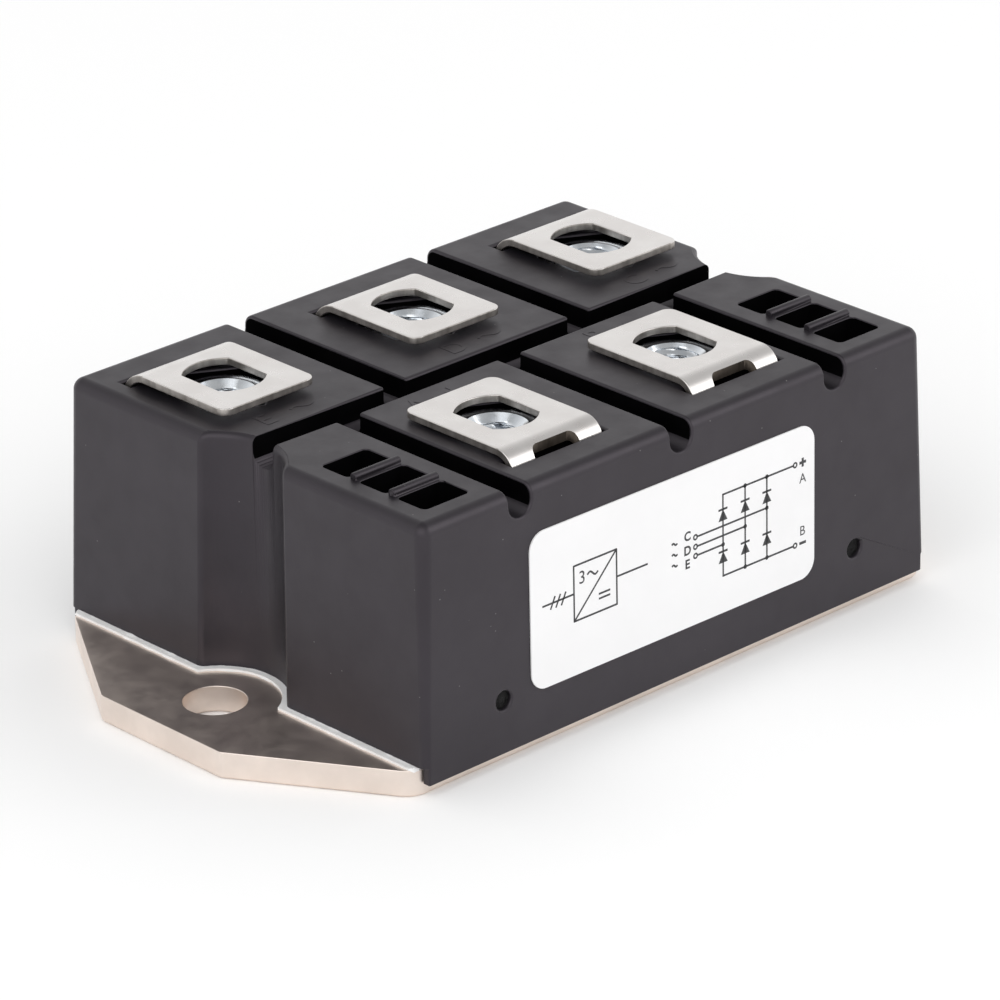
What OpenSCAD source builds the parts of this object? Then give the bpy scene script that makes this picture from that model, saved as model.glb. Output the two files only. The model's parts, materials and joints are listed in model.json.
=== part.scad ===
// Three-phase bridge rectifier module. A flat plated copper base with two screw holes carries a
// moulded housing with five screw terminals on top. Inside, six diode chips on one ceramic
// substrate join the terminals, covered by a soft gel filling.
// The origin is the middle of the underside, X runs along the module and Z points up.
// The two output terminals stand in the front row (negative Y), the three inputs in the back row.

/* [Base plate] */
// Spacing of the two mounting holes
hole_pitch = 80; // [77:0.5:86]
// Diameter of a mounting hole
hole_d = 6.6; // [4:0.1:7]
// Distance from a mounting hole to the end of its tab
tab_end = 7.4; // [5:0.5:10]
// Flat width at the end of a tab
tab_w = 18; // [12:1:26]
// How far the straight long edges run past the housing's ends
side_extra = 0.5; // [0:0.1:2]
// Width across the long edges
base_w = 51.9; // [51:0.1:58]
// Thickness of the plate
base_t = 3; // [2:0.25:5]
// Radius of the four corners beside the housing
side_corner_r = 3; // [1:0.5:5]
// Radius of the four corners at the ends of the tabs
tip_corner_r = 1.5; // [0.5:0.5:4]

/* [Housing] */
// Distance from the housing's ends to the mounting holes
end_gap = 3.75; // [2.5:0.05:5]
// Height of the housing's top above the underside
body_top = 29.15; // [27:0.05:36]
// Thickness of the side walls
wall_t = 2; // [1.4:0.1:2.4]
// Thickness of the skirt beside the base plate
skirt_t = 0.95; // [0.6:0.05:1.6]
// Gap between the skirt and the base plate
skirt_gap = 0.1; // [0.05:0.05:0.3]
// Height of the skirt's lower edge above the underside
skirt_z = 1.4; // [0.4:0.1:1.8]
// Inset of the skirt's ends from the housing's ends
skirt_inset = 0.5; // [0.2:0.1:1]
// Thickness of the deck that carries the nuts
deck_t = 7; // [6.5:0.25:9]
// Slope of each outer side, as the inset at its top
draft = 0.55; // [0.1:0.05:0.8]
// Radius of the top edges
edge_r = 1.3; // [0.8:0.1:2.6]
// Radius of the upright corners
corner_r = 0.8; // [0.6:0.1:2]
// Radius of the driver's notch around each mounting hole
notch_r = 7.5; // [6.5:0.1:8]

/* [Grooves] */
// Width of the grooves between the terminal blocks
groove_w = 3; // [2:0.1:3.6]
// Depth of the grooves
groove_d = 3.05; // [2:0.05:4.5]
// Distance of the outer front grooves from the housing's ends
side_groove_end = 13.75; // [13.2:0.05:14.8]

/* [Seal] */
// Thickness of the sealing bead under the housing
seal_t = 0.25; // [0.15:0.05:1]
// How far the bead is squeezed out past the housing's ends
seal_out = 0.7; // [0.3:0.1:1]

/* [Terminals] */
// Distance of the outer input screws from the housing's ends
in_end = 10; // [9.4:0.05:10.6]
// Distance of the output screws from the housing's ends
out_end = 23.5; // [23.2:0.05:24.2]
// Distance of both screw rows from the housing's long sides
row_side = 14.05; // [13.4:0.05:14.4]
// Width of a terminal
term_w = 12.6; // [11:0.1:13]
// Thickness of the terminal sheet
term_t = 0.8; // [0.6:0.1:1.2]
// Gap between an input terminal and the housing's top
in_gap = 0.7; // [0.5:0.05:0.9]
// Gap between an output terminal and the housing's top
out_gap = 0.3; // [0.1:0.05:0.6]
// Distance from a screw axis to the terminal's free end
term_front = 7.1; // [6:0.1:8]
// Distance from an input screw's axis to the outer face of the bent leg
in_back = 8.6; // [8.2:0.1:9.2]
// Distance from an output screw's axis to the outer face of the bent leg
out_back = 9; // [8.6:0.1:9.6]
// Outer radius of an input terminal's bend at the top
in_bend_r = 3.2; // [2.6:0.1:3.6]
// Outer radius of an output terminal's bend at the top
out_bend_r = 2.5; // [2:0.1:3]
// Radius of the free corners
term_corner_r = 1.2; // [0.4:0.1:2]
// Width of the window in the bend
window_w = 6.2; // [4:0.1:7]
// How far an input terminal's window lies past the start of the bend
in_window = 2; // [1.6:0.1:2.4]
// How far an output terminal's window lies past the start of the bend
out_window = 1.3; // [0.6:0.1:1.8]
// Height of the window below the housing's top
window_drop = 3; // [1:0.5:5]
// Radius of the window's corners
window_r = 1; // [0.2:0.1:1.2]
// Width of the screw hole, across the terminal
screw_hole_w = 6.4; // [5.6:0.1:7]
// Length of the screw hole, along the terminal
screw_hole_l = 8.5; // [7:0.1:9.5]
// Radius of the screw hole's two ends
screw_hole_r = 4.4; // [4.3:0.1:6]
// Width of the tail that goes down to the substrate
tail_w = 5.6; // [4:0.1:6]
// Length of the soldered foot
foot_l = 4.5; // [3.5:0.1:5.5]
// Outer radius of the bend at the foot
foot_r = 1.5; // [1.3:0.1:2]
// Room around a terminal in its slot
slot_clear = 0.1; // [0.1:0.05:0.4]
// Extra length of a slot at each end of the terminal
slot_extra = 0.2; // [0.1:0.1:0.6]

/* [Nuts] */
// Size across the flats of a nut
nut_af = 10; // [9:0.1:10.4]
// Height of a nut
nut_h = 5; // [4:0.1:5.4]
// Depth of the nut's face below the housing's top
nut_drop = 0.4; // [0.2:0.1:1]
// Room around a nut in its pocket
nut_clear = 0.15; // [0.05:0.05:0.3]
// Diameter of the nut's thread, at its crests
thread_d = 5; // [4.2:0.1:5.4]
// Diameter of the nut's countersink
sink_d = 6.8; // [6:0.1:7.4]
// Diameter of the room for the screw's tip
tip_d = 7.2; // [6.6:0.1:7.6]
// Depth of that room below the nut
tip_depth = 7; // [5:0.5:8]

/* [Pin slots] */
// Distance of the pin slots from the housing's ends
pin_end = 6.75; // [6.4:0.05:7.1]
// Distance of the pin slots from the housing's front
pin_side = 11.05; // [10.6:0.05:11.4]
// Size of a pin slot along the module
pin_l = 6.1; // [5:0.1:6.4]
// Size of a pin slot across the module
pin_w = 15; // [13:0.1:16]
// Radius of the slot's corners
pin_r = 0.6; // [0.2:0.1:1]
// Thickness of the two webs that part the slot
web_t = 1.45; // [1.1:0.05:1.8]
// Thickness of the ridge on each web
ridge_t = 0.9; // [0.6:0.05:1]
// Height of the ridge above the housing's top
ridge_rise = 0.7; // [0.5:0.05:0.9]

/* [Label and moulding marks] */
// Width of the label
label_w = 40.8; // [30:0.2:44]
// Height of the label
label_h = 17.1; // [12:0.1:18.4]
// Thickness of the label
label_t = 0.15; // [0.08:0.01:0.3]
// Thickness of the glue under the label
glue_t = 0.02; // [0.01:0.01:0.05]
// Radius of the label's corners
label_r = 2; // [0.5:0.1:4]
// Place of the label along the front
label_x = -1.25; // [-3:0.05:3]
// Height of the label's middle above the underside
label_z = 15.15; // [13.6:0.05:15.6]
// Slant of the label as stuck on, in degrees
label_tilt = -0.5; // [-1.5:0.1:1.5]
// Distance of the two gate marks from the housing's ends
gate_end = 10.85; // [6:0.05:11.4]
// Height of the gate marks above the underside
gate_z = 7.2; // [6:0.1:10]
// Diameter of a gate mark
gate_d = 2; // [1:0.1:2.6]
// Depth of a gate mark
gate_depth = 0.6; // [0.3:0.1:1]

/* [Substrate] */
// Gap between the ceramic and the long walls
substrate_side = 2; // [1.7:0.05:2.2]
// Gap between the ceramic and the notch walls
substrate_gap = 0.5; // [0.3:0.1:0.6]
// Thickness of the ceramic
ceramic_t = 0.65; // [0.4:0.05:1]
// Thickness of the copper on either side
copper_t = 0.3; // [0.2:0.05:0.5]
// Bare rim of the ceramic around the copper
rim = 0.6; // [0.4:0.05:0.8]
// Gap between neighbouring tracks
track_gap = 1; // [0.6:0.05:1.2]
// Width of the minus track's bar and arm
bar_w = 3.1; // [2.6:0.1:3.4]

/* [Diodes] */
// Side of a diode chip
chip_s = 9.5; // [8:0.1:9.8]
// Thickness of a diode chip
chip_t = 0.4; // [0.25:0.05:0.6]
// Width of a copper link
link_w = 3.6; // [2.5:0.1:4.2]
// Thickness of a copper link
link_t = 0.4; // [0.3:0.05:0.5]
// Height of a link's bridge above the chips
link_rise = 1.6; // [1:0.1:2.5]
// Length of a link's pad on a chip
chip_pad_l = 4; // [2.5:0.1:6]
// Length of a link's pad on a track
track_pad_l = 2; // [1.5:0.1:2.2]
// Gap between a link's pad and the edge of its track or a chip
pad_edge = 0.3; // [0.2:0.05:0.4]

/* [Gel] */
// Height of the gel's surface above the underside
gel_top = 11; // [8:0.25:12]

/* [Hidden] */
$fn = 64;
hull_fn = 32;
edge_steps = 8;
// Overshoot of a cut past the face it opens
cut = 1;
// Overlap of a round corner with the edges that it joins
lap = 0.01;

LEFT = -1;
MIDDLE = 0;
RIGHT = 1;
FRONT = -1;
BACK = 1;

hole_x = hole_pitch / 2;
base_tip = hole_x + tab_end;
body_l = hole_pitch - 2 * end_gap;
body_w = base_w + 2 * (skirt_gap + skirt_t);
foot_z = base_t + seal_t;
deck_z = body_top - deck_t;
edge_z = body_top - edge_r;
draft_angle = atan(draft / (edge_z - foot_z));

in_x = body_l / 2 - in_end;
out_x = body_l / 2 - out_end;
row_y = body_w / 2 - row_side;
side_groove_x = body_l / 2 - side_groove_end;
pin_x = body_l / 2 - pin_end;
pin_y = body_w / 2 - pin_side;
gate_x = body_l / 2 - gate_end;

free_y = row_y - term_front;
window_z = body_top - window_drop;

nut_top = body_top - nut_drop;
nut_z = nut_top - nut_h;
tip_z = nut_z - tip_depth;
tower_d = tip_d + 2 * wall_t;
nut_chamfer = (sink_d - thread_d) / 2;

web_pitch = (pin_w + web_t) / 3;

ceramic_z = base_t + copper_t;
track_z = ceramic_z + ceramic_t;
track_top = track_z + copper_t;
chip_top = track_top + chip_t;
bridge_z = chip_top + link_rise;
substrate_x = hole_x - notch_r - wall_t - substrate_gap;
substrate_y = body_w / 2 - wall_t - substrate_side;
track_x = substrate_x - rim;
track_y = substrate_y - rim;
bar_y = bar_w / 2;
pad_w = (2 * track_x - 2 * track_gap) / 3;
pad_pitch = pad_w + track_gap;
pad_front = bar_y + track_gap;
upper_y = -(pad_front + 2 * pad_edge + chip_s / 2);
lower_y = pad_front + track_pad_l + 2 * pad_edge + chip_s / 2;
plus_front = upper_y - chip_s / 2 - 2 * pad_edge;
link_x = chip_s / 4;

// Screw axes of all five terminals as [x, y]
screw_axes = [
    for (side = [LEFT, MIDDLE, RIGHT]) [side * in_x, row_y],
    for (side = [LEFT, RIGHT]) [side * out_x, -row_y]
];

function gap_of(row) = row == BACK ? in_gap : out_gap;

function bend_of(row) = row == BACK ? in_bend_r : out_bend_r;

// Distance of a leg's outer face from the middle of the module
function leg_of(row) = row_y + (row == BACK ? in_back : out_back);

// Where a terminal's window starts, measured as the leg is
function window_of(row) = leg_of(row) - bend_of(row) + (row == BACK ? in_window : out_window);

// Height of a terminal's flat underside
function sheet_z(row) = body_top + gap_of(row);

// How far the inside of the bend reaches in from the leg's outer face, at the housing's top
function bend_in(row) =
    let (r = bend_of(row), gap = gap_of(row)) r - sqrt(gap * (2 * (r - term_t) - gap));

// A flat rectangle with round corners, centred
module rounded_rect(size, r) {
    square([size.x - 2 * r, size.y], center = true);
    square([size.x, size.y - 2 * r], center = true);
    for (x = [-1, 1], y = [-1, 1]) translate([x * (size.x / 2 - r), y * (size.y / 2 - r)]) circle(r);
}

// A block centred on X and Y between two heights
module slab(size_x, size_y, z0, z1) {
    translate([-size_x / 2, -size_y / 2, z0]) cube([size_x, size_y, z1 - z0]);
}

// A block between two corners
module span(x0, x1, y0, y1, z0, z1) {
    translate([x0, y0, z0]) cube([x1 - x0, y1 - y0, z1 - z0]);
}

// The children at both mounting holes
module at_both_holes() {
    for (side = [LEFT, RIGHT]) translate([side * hole_x, 0]) children();
}

// A flat profile in Y and Z, drawn out along X and centred on it
module along_x(length) {
    translate([-length / 2, 0, 0]) rotate([90, 0, 90]) linear_extrude(length) children();
}

// A quarter of a bent sheet about the origin, in the quadrant that sx and sy point to
module quarter_bend(r, t, sx, sy) {
    intersection() {
        difference() {
            circle(r);
            circle(r - t);
        }
        translate([min(0, sx * r), min(0, sy * r)]) square(r);
    }
}

function unit(v) = v / norm(v);

// Where a round of radius r meets both edges of the corner b between a and c, and its centre
function corner_round(a, b, c, r) =
    let (u = unit(a - b), v = unit(c - b), half = acos(u * v) / 2)
    [b + u * r / tan(half), b + v * r / tan(half), b + unit(u + v) * (r / sin(half) - lap)];

// An outline with round corners, from its corner points and their radii
module rounded_outline(points, radii) {
    count = len(points);
    rounds = [
        for (i = [0 : count - 1])
            corner_round(points[(i + count - 1) % count], points[i], points[(i + 1) % count], radii[i])
    ];
    polygon([for (round = rounds) each [round[0], round[1]]]);
    for (i = [0 : count - 1]) translate(rounds[i][2]) circle(radii[i]);
}

// The base plate seen from above: straight long edges and a tapered tab at each end
module base_outline() {
    side = [body_l / 2 + side_extra, base_w / 2];
    tip = [base_tip, tab_w / 2];
    points = [
        [tip.x, tip.y], [side.x, side.y], [-side.x, side.y], [-tip.x, tip.y],
        [-tip.x, -tip.y], [-side.x, -side.y], [side.x, -side.y], [tip.x, -tip.y]
    ];
    pair = [tip_corner_r, side_corner_r, side_corner_r, tip_corner_r];
    rounded_outline(points, concat(pair, pair));
}

module base_plate() {
    color("#b3a79c") difference() {
        linear_extrude(base_t) base_outline();
        at_both_holes() translate([0, 0, -cut]) cylinder(d = hole_d, h = base_t + 2 * cut);
    }
}

// The housing's outer form: an upright skirt, sloping sides and rounded top edges
module outer_form() {
    bottom = [body_l / 2 - corner_r, body_w / 2 - corner_r];
    top = [body_l / 2 - draft - edge_r, body_w / 2 - draft - edge_r];
    hull() for (x = [-1, 1], y = [-1, 1]) {
        translate([x * bottom.x, y * bottom.y, skirt_z])
            cylinder(r = corner_r, h = foot_z - skirt_z, $fn = hull_fn);
        for (step = [0 : edge_steps - 1]) {
            turn = 90 * step / edge_steps;
            next = 90 * (step + 1) / edge_steps;
            translate([x * top.x, y * top.y, edge_z + edge_r * sin(turn)])
                cylinder(r1 = edge_r * cos(turn), r2 = edge_r * cos(next),
                         h = edge_r * (sin(next) - sin(turn)), $fn = hull_fn);
        }
    }
}

// The inside of the housing, seen from above
module cavity_outline() {
    difference() {
        square([body_l - 2 * wall_t, body_w - 2 * wall_t], center = true);
        at_both_holes() circle(notch_r + wall_t);
    }
}

// One groove across the housing's top, with a round floor
module groove(length) {
    floor_r = groove_w / 2;
    floor_z = body_top - groove_d;
    along_x(length) {
        translate([-floor_r, floor_z + floor_r]) square([groove_w, groove_d + cut]);
        translate([0, floor_z + floor_r]) circle(floor_r);
    }
}

module grooves() {
    reach = body_w / 2 + cut;
    groove(body_l + 2 * cut);
    for (side = [LEFT, RIGHT])
        translate([side * in_x / 2, reach / 2, 0]) rotate([0, 0, 90]) groove(reach);
    for (side = [LEFT, MIDDLE, RIGHT])
        translate([side * side_groove_x, -reach / 2, 0]) rotate([0, 0, 90]) groove(reach);
}

// Three openings on each side of the front row, parted by two webs
module pin_openings() {
    opening = (pin_w - 2 * web_t) / 3;
    for (side = [LEFT, RIGHT], place = [-1, 0, 1])
        translate([side * pin_x, -pin_y + place * web_pitch, deck_z - cut])
            linear_extrude(deck_t + 2 * cut) rounded_rect([pin_l, opening], pin_r);
}

// Rounded ridges that stand on the webs
module pin_ridges() {
    for (side = [LEFT, RIGHT], place = [-1, 1])
        translate([side * pin_x, -pin_y + place * web_pitch / 2, 0]) along_x(pin_l) {
            translate([0, body_top + ridge_rise - ridge_t / 2]) circle(d = ridge_t);
            translate([-ridge_t / 2, body_top - ridge_t])
                square([ridge_t, ridge_rise + ridge_t / 2]);
        }
}

// Slots through the deck for the five bent terminals
module terminal_slots() {
    slot_l = term_w + 2 * slot_extra;
    for (axis = screw_axes) {
        row = sign(axis.y);
        translate([axis.x, row * (leg_of(row) - bend_in(row) / 2), 0])
            slab(slot_l, bend_in(row) + 2 * slot_clear, deck_z - cut, body_top + cut);
    }
}

// Pockets for the nuts, with room below for the tips of the screws
module nut_pockets() {
    pocket_r = (nut_af / 2 + nut_clear) / cos(30);
    for (axis = screw_axes) translate([axis.x, axis.y, 0]) {
        translate([0, 0, nut_z]) rotate([0, 0, 30]) cylinder(r = pocket_r, h = body_top, $fn = 6);
        translate([0, 0, tip_z]) cylinder(d = tip_d, h = tip_depth + cut);
    }
}

module housing() {
    recess_w = base_w + 2 * skirt_gap;
    gate_inset = (gate_z - foot_z) * tan(draft_angle);
    color("#4b4a4c") {
        difference() {
            outer_form();
            difference() {
                translate([0, 0, skirt_z - cut])
                    linear_extrude(deck_z - skirt_z + cut) cavity_outline();
                for (axis = screw_axes) translate([axis.x, axis.y, tip_z - wall_t])
                    cylinder(d = tower_d, h = body_top);
            }
            slab(body_l + 2 * cut, recess_w, skirt_z - cut, foot_z);
            for (side = [LEFT, RIGHT])
                translate([side * (body_l / 2 - skirt_inset + cut), 0, 0])
                    slab(2 * cut, body_w + 2 * cut, skirt_z - cut, foot_z);
            translate([0, 0, -cut]) at_both_holes() cylinder(r = notch_r, h = body_top + 2 * cut);
            grooves();
            pin_openings();
            terminal_slots();
            nut_pockets();
            for (side = [LEFT, RIGHT])
                translate([side * gate_x, -body_w / 2 + gate_inset + gate_depth, gate_z])
                    rotate([90, 0, 0]) cylinder(d = gate_d, h = gate_depth + cut);
        }
        pin_ridges();
    }
}

module seal() {
    color("#f4f3f0") translate([0, 0, base_t]) linear_extrude(seal_t) difference() {
        intersection() {
            square([body_l + 2 * seal_out, base_w], center = true);
            base_outline();
        }
        at_both_holes() circle(notch_r - seal_out);
        cavity_outline();
    }
}

module label() {
    face_y = -body_w / 2 + (label_z - foot_z) * tan(draft_angle);
    color("#f5f5f4") translate([label_x, face_y - glue_t, label_z])
        rotate([90 - draft_angle, 0, 0]) rotate([0, 0, label_tilt]) linear_extrude(label_t)
            rounded_rect([label_w, label_h], label_r);
}

module terminal_nuts() {
    hex_r = nut_af / 2 / cos(30);
    color("#d9dee3") for (axis = screw_axes) translate([axis.x, axis.y, nut_z]) intersection() {
        rotate([0, 0, 30]) cylinder(r = hex_r, h = nut_h, $fn = 6);
        rotate_extrude() polygon([
            [sink_d / 2, 0], [nut_af / 2, 0], [hex_r, nut_chamfer / 2],
            [hex_r, nut_h - nut_chamfer / 2], [nut_af / 2, nut_h], [sink_d / 2, nut_h],
            [thread_d / 2, nut_h - nut_chamfer], [thread_d / 2, nut_chamfer]
        ]);
    }
}

// Side view of a terminal: flat top, bend, leg, bend and foot
module terminal_profile(row) {
    r = bend_of(row);
    leg_y = leg_of(row);
    middle_z = sheet_z(row) + term_t - r;
    translate([free_y, sheet_z(row)]) square([leg_y - r - free_y, term_t]);
    translate([leg_y - r, middle_z]) quarter_bend(r, term_t, 1, 1);
    translate([leg_y - term_t, track_top + foot_r])
        square([term_t, middle_z - track_top - foot_r]);
    translate([leg_y - foot_r, track_top + foot_r]) quarter_bend(foot_r, term_t, 1, -1);
    translate([leg_y - foot_l, track_top]) square([foot_l - foot_r, term_t]);
}

// A bent terminal about x = 0 on the back side, its tail shifted along X by tail_shift
module terminal(row, tail_shift = 0) {
    waist_z = deck_z - term_t;
    half_w = term_w / 2;
    difference() {
        along_x(term_w) terminal_profile(row);
        for (side = [LEFT, RIGHT])
            translate([tail_shift + side * (tail_w + term_w) / 2, leg_of(row) - foot_l / 2, 0])
                slab(term_w, foot_l + 2 * cut, 0, waist_z);
        translate([0, window_of(row) + window_w / 2, window_z])
            linear_extrude(body_top) rounded_rect([window_w, window_w], window_r);
        translate([0, row_y, sheet_z(row) - cut]) linear_extrude(term_t + 2 * cut) intersection() {
            square([screw_hole_w, screw_hole_l], center = true);
            translate([0, screw_hole_l / 2 - screw_hole_r]) circle(screw_hole_r);
            translate([0, screw_hole_r - screw_hole_l / 2]) circle(screw_hole_r);
        }
        for (side = [LEFT, RIGHT]) translate([side * half_w, free_y, sheet_z(row) - cut])
            mirror([side == RIGHT ? 1 : 0, 0, 0]) linear_extrude(term_t + 2 * cut) difference() {
                translate([-cut, -cut]) square(term_corner_r + cut);
                translate([term_corner_r, term_corner_r]) circle(term_corner_r);
            }
    }
}

// An input terminal; the tail of an outer one stays over its track
module terminal_in(side) {
    tail_x = side * min(in_x, track_x - tail_w / 2);
    color("#d8d3cf") translate([side * in_x, 0, 0]) terminal(BACK, tail_x - side * in_x);
}

module terminal_out(side) {
    color("#d8d3cf") translate([side * out_x, 0, 0]) mirror([0, 1, 0]) terminal(FRONT);
}

module terminal_in_left() { terminal_in(LEFT); }
module terminal_in_middle() { terminal_in(MIDDLE); }
module terminal_in_right() { terminal_in(RIGHT); }
module terminal_plus() { terminal_out(LEFT); }
module terminal_minus() { terminal_out(RIGHT); }

module substrate_back() {
    color("#b87333") slab(2 * track_x, 2 * track_y, base_t, ceramic_z);
}

module substrate_ceramic() {
    color("#efece2") slab(2 * substrate_x, 2 * substrate_y, ceramic_z, track_z);
}

// A track of the back row, one under each input terminal
module track_in(side) {
    middle = side * pad_pitch;
    color("#b87333")
        span(middle - pad_w / 2, middle + pad_w / 2, pad_front, track_y, track_z, track_top);
}

module track_in_left() { track_in(LEFT); }
module track_in_middle() { track_in(MIDDLE); }
module track_in_right() { track_in(RIGHT); }

module track_plus() {
    right = track_x - bar_w - track_gap;
    color("#b87333") {
        span(-track_x, right, plus_front, -pad_front, track_z, track_top);
        span(-track_x, -track_gap / 2, -track_y, plus_front, track_z, track_top);
    }
}

module track_minus() {
    arm_x = track_x - bar_w;
    color("#b87333") {
        span(-track_x, track_x, -bar_y, bar_y, track_z, track_top);
        span(arm_x, track_x, -track_y, -bar_y, track_z, track_top);
        span(track_gap / 2, arm_x, -track_y, plus_front - track_gap, track_z, track_top);
    }
}

module diode(side, y) {
    color("#5b5f66") translate([side * pad_pitch, y, 0]) slab(chip_s, chip_s, track_top, chip_top);
}

module upper_diode_left() { diode(LEFT, upper_y); }
module upper_diode_middle() { diode(MIDDLE, upper_y); }
module upper_diode_right() { diode(RIGHT, upper_y); }
module lower_diode_left() { diode(LEFT, lower_y); }
module lower_diode_middle() { diode(MIDDLE, lower_y); }
module lower_diode_right() { diode(RIGHT, lower_y); }

// A bent copper strip from a pad at a0 to a1, z = za, over to a pad at b0 to b1, z = zb
module link(x, a0, a1, za, b0, b1, zb) {
    color("#c98a4b") translate([x, 0, 0]) along_x(link_w) {
        translate([a0, za]) square([a1 - a0, link_t]);
        translate([a1 - link_t, za]) square([link_t, bridge_z + link_t - za]);
        translate([a1 - link_t, bridge_z]) square([b0 - a1 + 2 * link_t, link_t]);
        translate([b0, zb]) square([link_t, bridge_z + link_t - zb]);
        translate([b0, zb]) square([b1 - b0, link_t]);
    }
}

// From the face of an upper diode to the input track, over the minus bar
module upper_link(side) {
    pad = pad_front + pad_edge;
    link(side * pad_pitch + link_x, upper_y - chip_pad_l / 2, upper_y + chip_pad_l / 2, chip_top,
         pad, pad + track_pad_l, track_top);
}

// From the minus bar to the face of a lower diode
module lower_link(side) {
    link(side * pad_pitch - link_x, pad_edge - bar_y, bar_y - pad_edge, track_top,
         lower_y - chip_pad_l / 2, lower_y + chip_pad_l / 2, chip_top);
}

module upper_link_left() { upper_link(LEFT); }
module upper_link_middle() { upper_link(MIDDLE); }
module upper_link_right() { upper_link(RIGHT); }
module lower_link_left() { lower_link(LEFT); }
module lower_link_middle() { lower_link(MIDDLE); }
module lower_link_right() { lower_link(RIGHT); }

// The soft filling, with room for everything that it covers
module gel() {
    color("#e8e4d8") difference() {
        translate([0, 0, base_t]) linear_extrude(gel_top - base_t) cavity_outline();
        substrate_back();
        substrate_ceramic();
        track_plus();
        track_minus();
        for (side = [LEFT, MIDDLE, RIGHT]) {
            track_in(side);
            diode(side, upper_y);
            diode(side, lower_y);
            upper_link(side);
            lower_link(side);
            terminal_in(side);
        }
        for (side = [LEFT, RIGHT]) terminal_out(side);
    }
}

base_plate();
housing();
seal();
label();
terminal_nuts();
terminal_in_left();
terminal_in_middle();
terminal_in_right();
terminal_plus();
terminal_minus();
substrate_back();
substrate_ceramic();
track_in_left();
track_in_middle();
track_in_right();
track_plus();
track_minus();
upper_diode_left();
upper_diode_middle();
upper_diode_right();
lower_diode_left();
lower_diode_middle();
lower_diode_right();
upper_link_left();
upper_link_middle();
upper_link_right();
lower_link_left();
lower_link_middle();
lower_link_right();
gel();
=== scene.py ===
"""Looks of a three-phase diode module.

A satin black moulding stands on a plated copper base. Five bent screw terminals, their nuts, the
sealing bead and the printed label are dressed here, at the places that the frame gives.
"""

import json
import logging
import math
from dataclasses import dataclass, field
from enum import Enum
from functools import cached_property
from typing import Any, Callable, Iterable, Optional, Sequence, Union

import bmesh
import bpy
from mathutils import Matrix, Vector, noise
from mathutils.bvhtree import BVHTree

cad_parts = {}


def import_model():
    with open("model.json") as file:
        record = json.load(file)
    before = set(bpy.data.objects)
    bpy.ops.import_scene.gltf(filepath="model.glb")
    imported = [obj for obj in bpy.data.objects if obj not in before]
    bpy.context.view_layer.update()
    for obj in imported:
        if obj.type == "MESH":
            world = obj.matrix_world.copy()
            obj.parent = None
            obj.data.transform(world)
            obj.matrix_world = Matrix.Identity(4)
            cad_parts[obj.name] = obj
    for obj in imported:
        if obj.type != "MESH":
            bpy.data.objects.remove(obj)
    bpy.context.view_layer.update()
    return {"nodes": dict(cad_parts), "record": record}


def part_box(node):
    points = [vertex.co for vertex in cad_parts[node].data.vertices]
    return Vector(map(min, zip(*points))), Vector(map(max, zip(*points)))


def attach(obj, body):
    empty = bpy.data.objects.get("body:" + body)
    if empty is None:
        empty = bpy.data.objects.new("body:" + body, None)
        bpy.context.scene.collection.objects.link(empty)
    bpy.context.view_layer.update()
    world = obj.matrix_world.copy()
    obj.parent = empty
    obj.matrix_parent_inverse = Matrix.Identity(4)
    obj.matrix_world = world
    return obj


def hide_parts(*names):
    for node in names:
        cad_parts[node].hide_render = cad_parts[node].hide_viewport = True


LOG = logging.getLogger("diode_module")

# Sockets that share their names with others in their nodes, by number.
MIX_FIRST, MIX_SECOND, MIX_RESULT = 6, 7, 2
WHOLE_LEAST, WHOLE_MOST, WHOLE_VALUE = 4, 5, 2

MM = 0.001
BODY = "root"
MERGE = 0.001 * MM
FULL_ROUND = 1.0 * MM
FACE_WEIGHT = 80
FLAT_ANGLE = math.radians(0.4)
SHARP_ANGLE = math.radians(30)
SMOOTH_ANGLE = math.radians(42)
SIXTH_TURN = math.pi / 3
NOISE_ROUGHNESS = 0.55
SPECK_CORE = 0.6
SIDES = ("left", "middle", "right")
ENDS = (-1, 1)
SCREWS = ("screw_in_left", "screw_in_middle", "screw_in_right", "screw_plus", "screw_minus")
TERMINAL_LETTERS = "EDCAB"

Triple = tuple[float, float, float]
Point = tuple[float, float]
Route = list[tuple[Vector, Vector]]
Ring = list[bmesh.types.BMVert]
Socket = bpy.types.NodeSocket
Paint = Union[Triple, Socket]


class Row(Enum):
    """The two rows of terminals, with the way their legs face along Y."""

    INPUT = 1
    OUTPUT = -1


def feed(tree: bpy.types.NodeTree, socket: Socket, value: Any) -> None:
    """Set an input, or link it to an output; a plain colour gets its alpha.

    Args:
        tree: The node tree.
        socket: The input.
        value: The value or the output.
    """
    if isinstance(value, Socket):
        tree.links.new(value, socket)
    elif isinstance(value, tuple) and len(value) < len(socket.default_value):
        socket.default_value = (*value, 1)
    else:
        socket.default_value = value


def add_node(
    tree: bpy.types.NodeTree,
    kind: str,
    inputs: Optional[dict] = None,
    output: Union[int, str] = 0,
    **settings: Any,
) -> Socket:
    """Add a node, with its settings and inputs.

    Args:
        tree: The node tree.
        kind: The node's type.
        inputs: Values or outputs for its inputs, by name or number.
        output: The output that is wanted.
        settings: The node's own properties.

    Returns:
        That output.
    """
    node = tree.nodes.new(kind)
    for name, value in settings.items():
        setattr(node, name, value)
    for name, value in (inputs or {}).items():
        feed(tree, node.inputs[name], value)
    return node.outputs[output]


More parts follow.
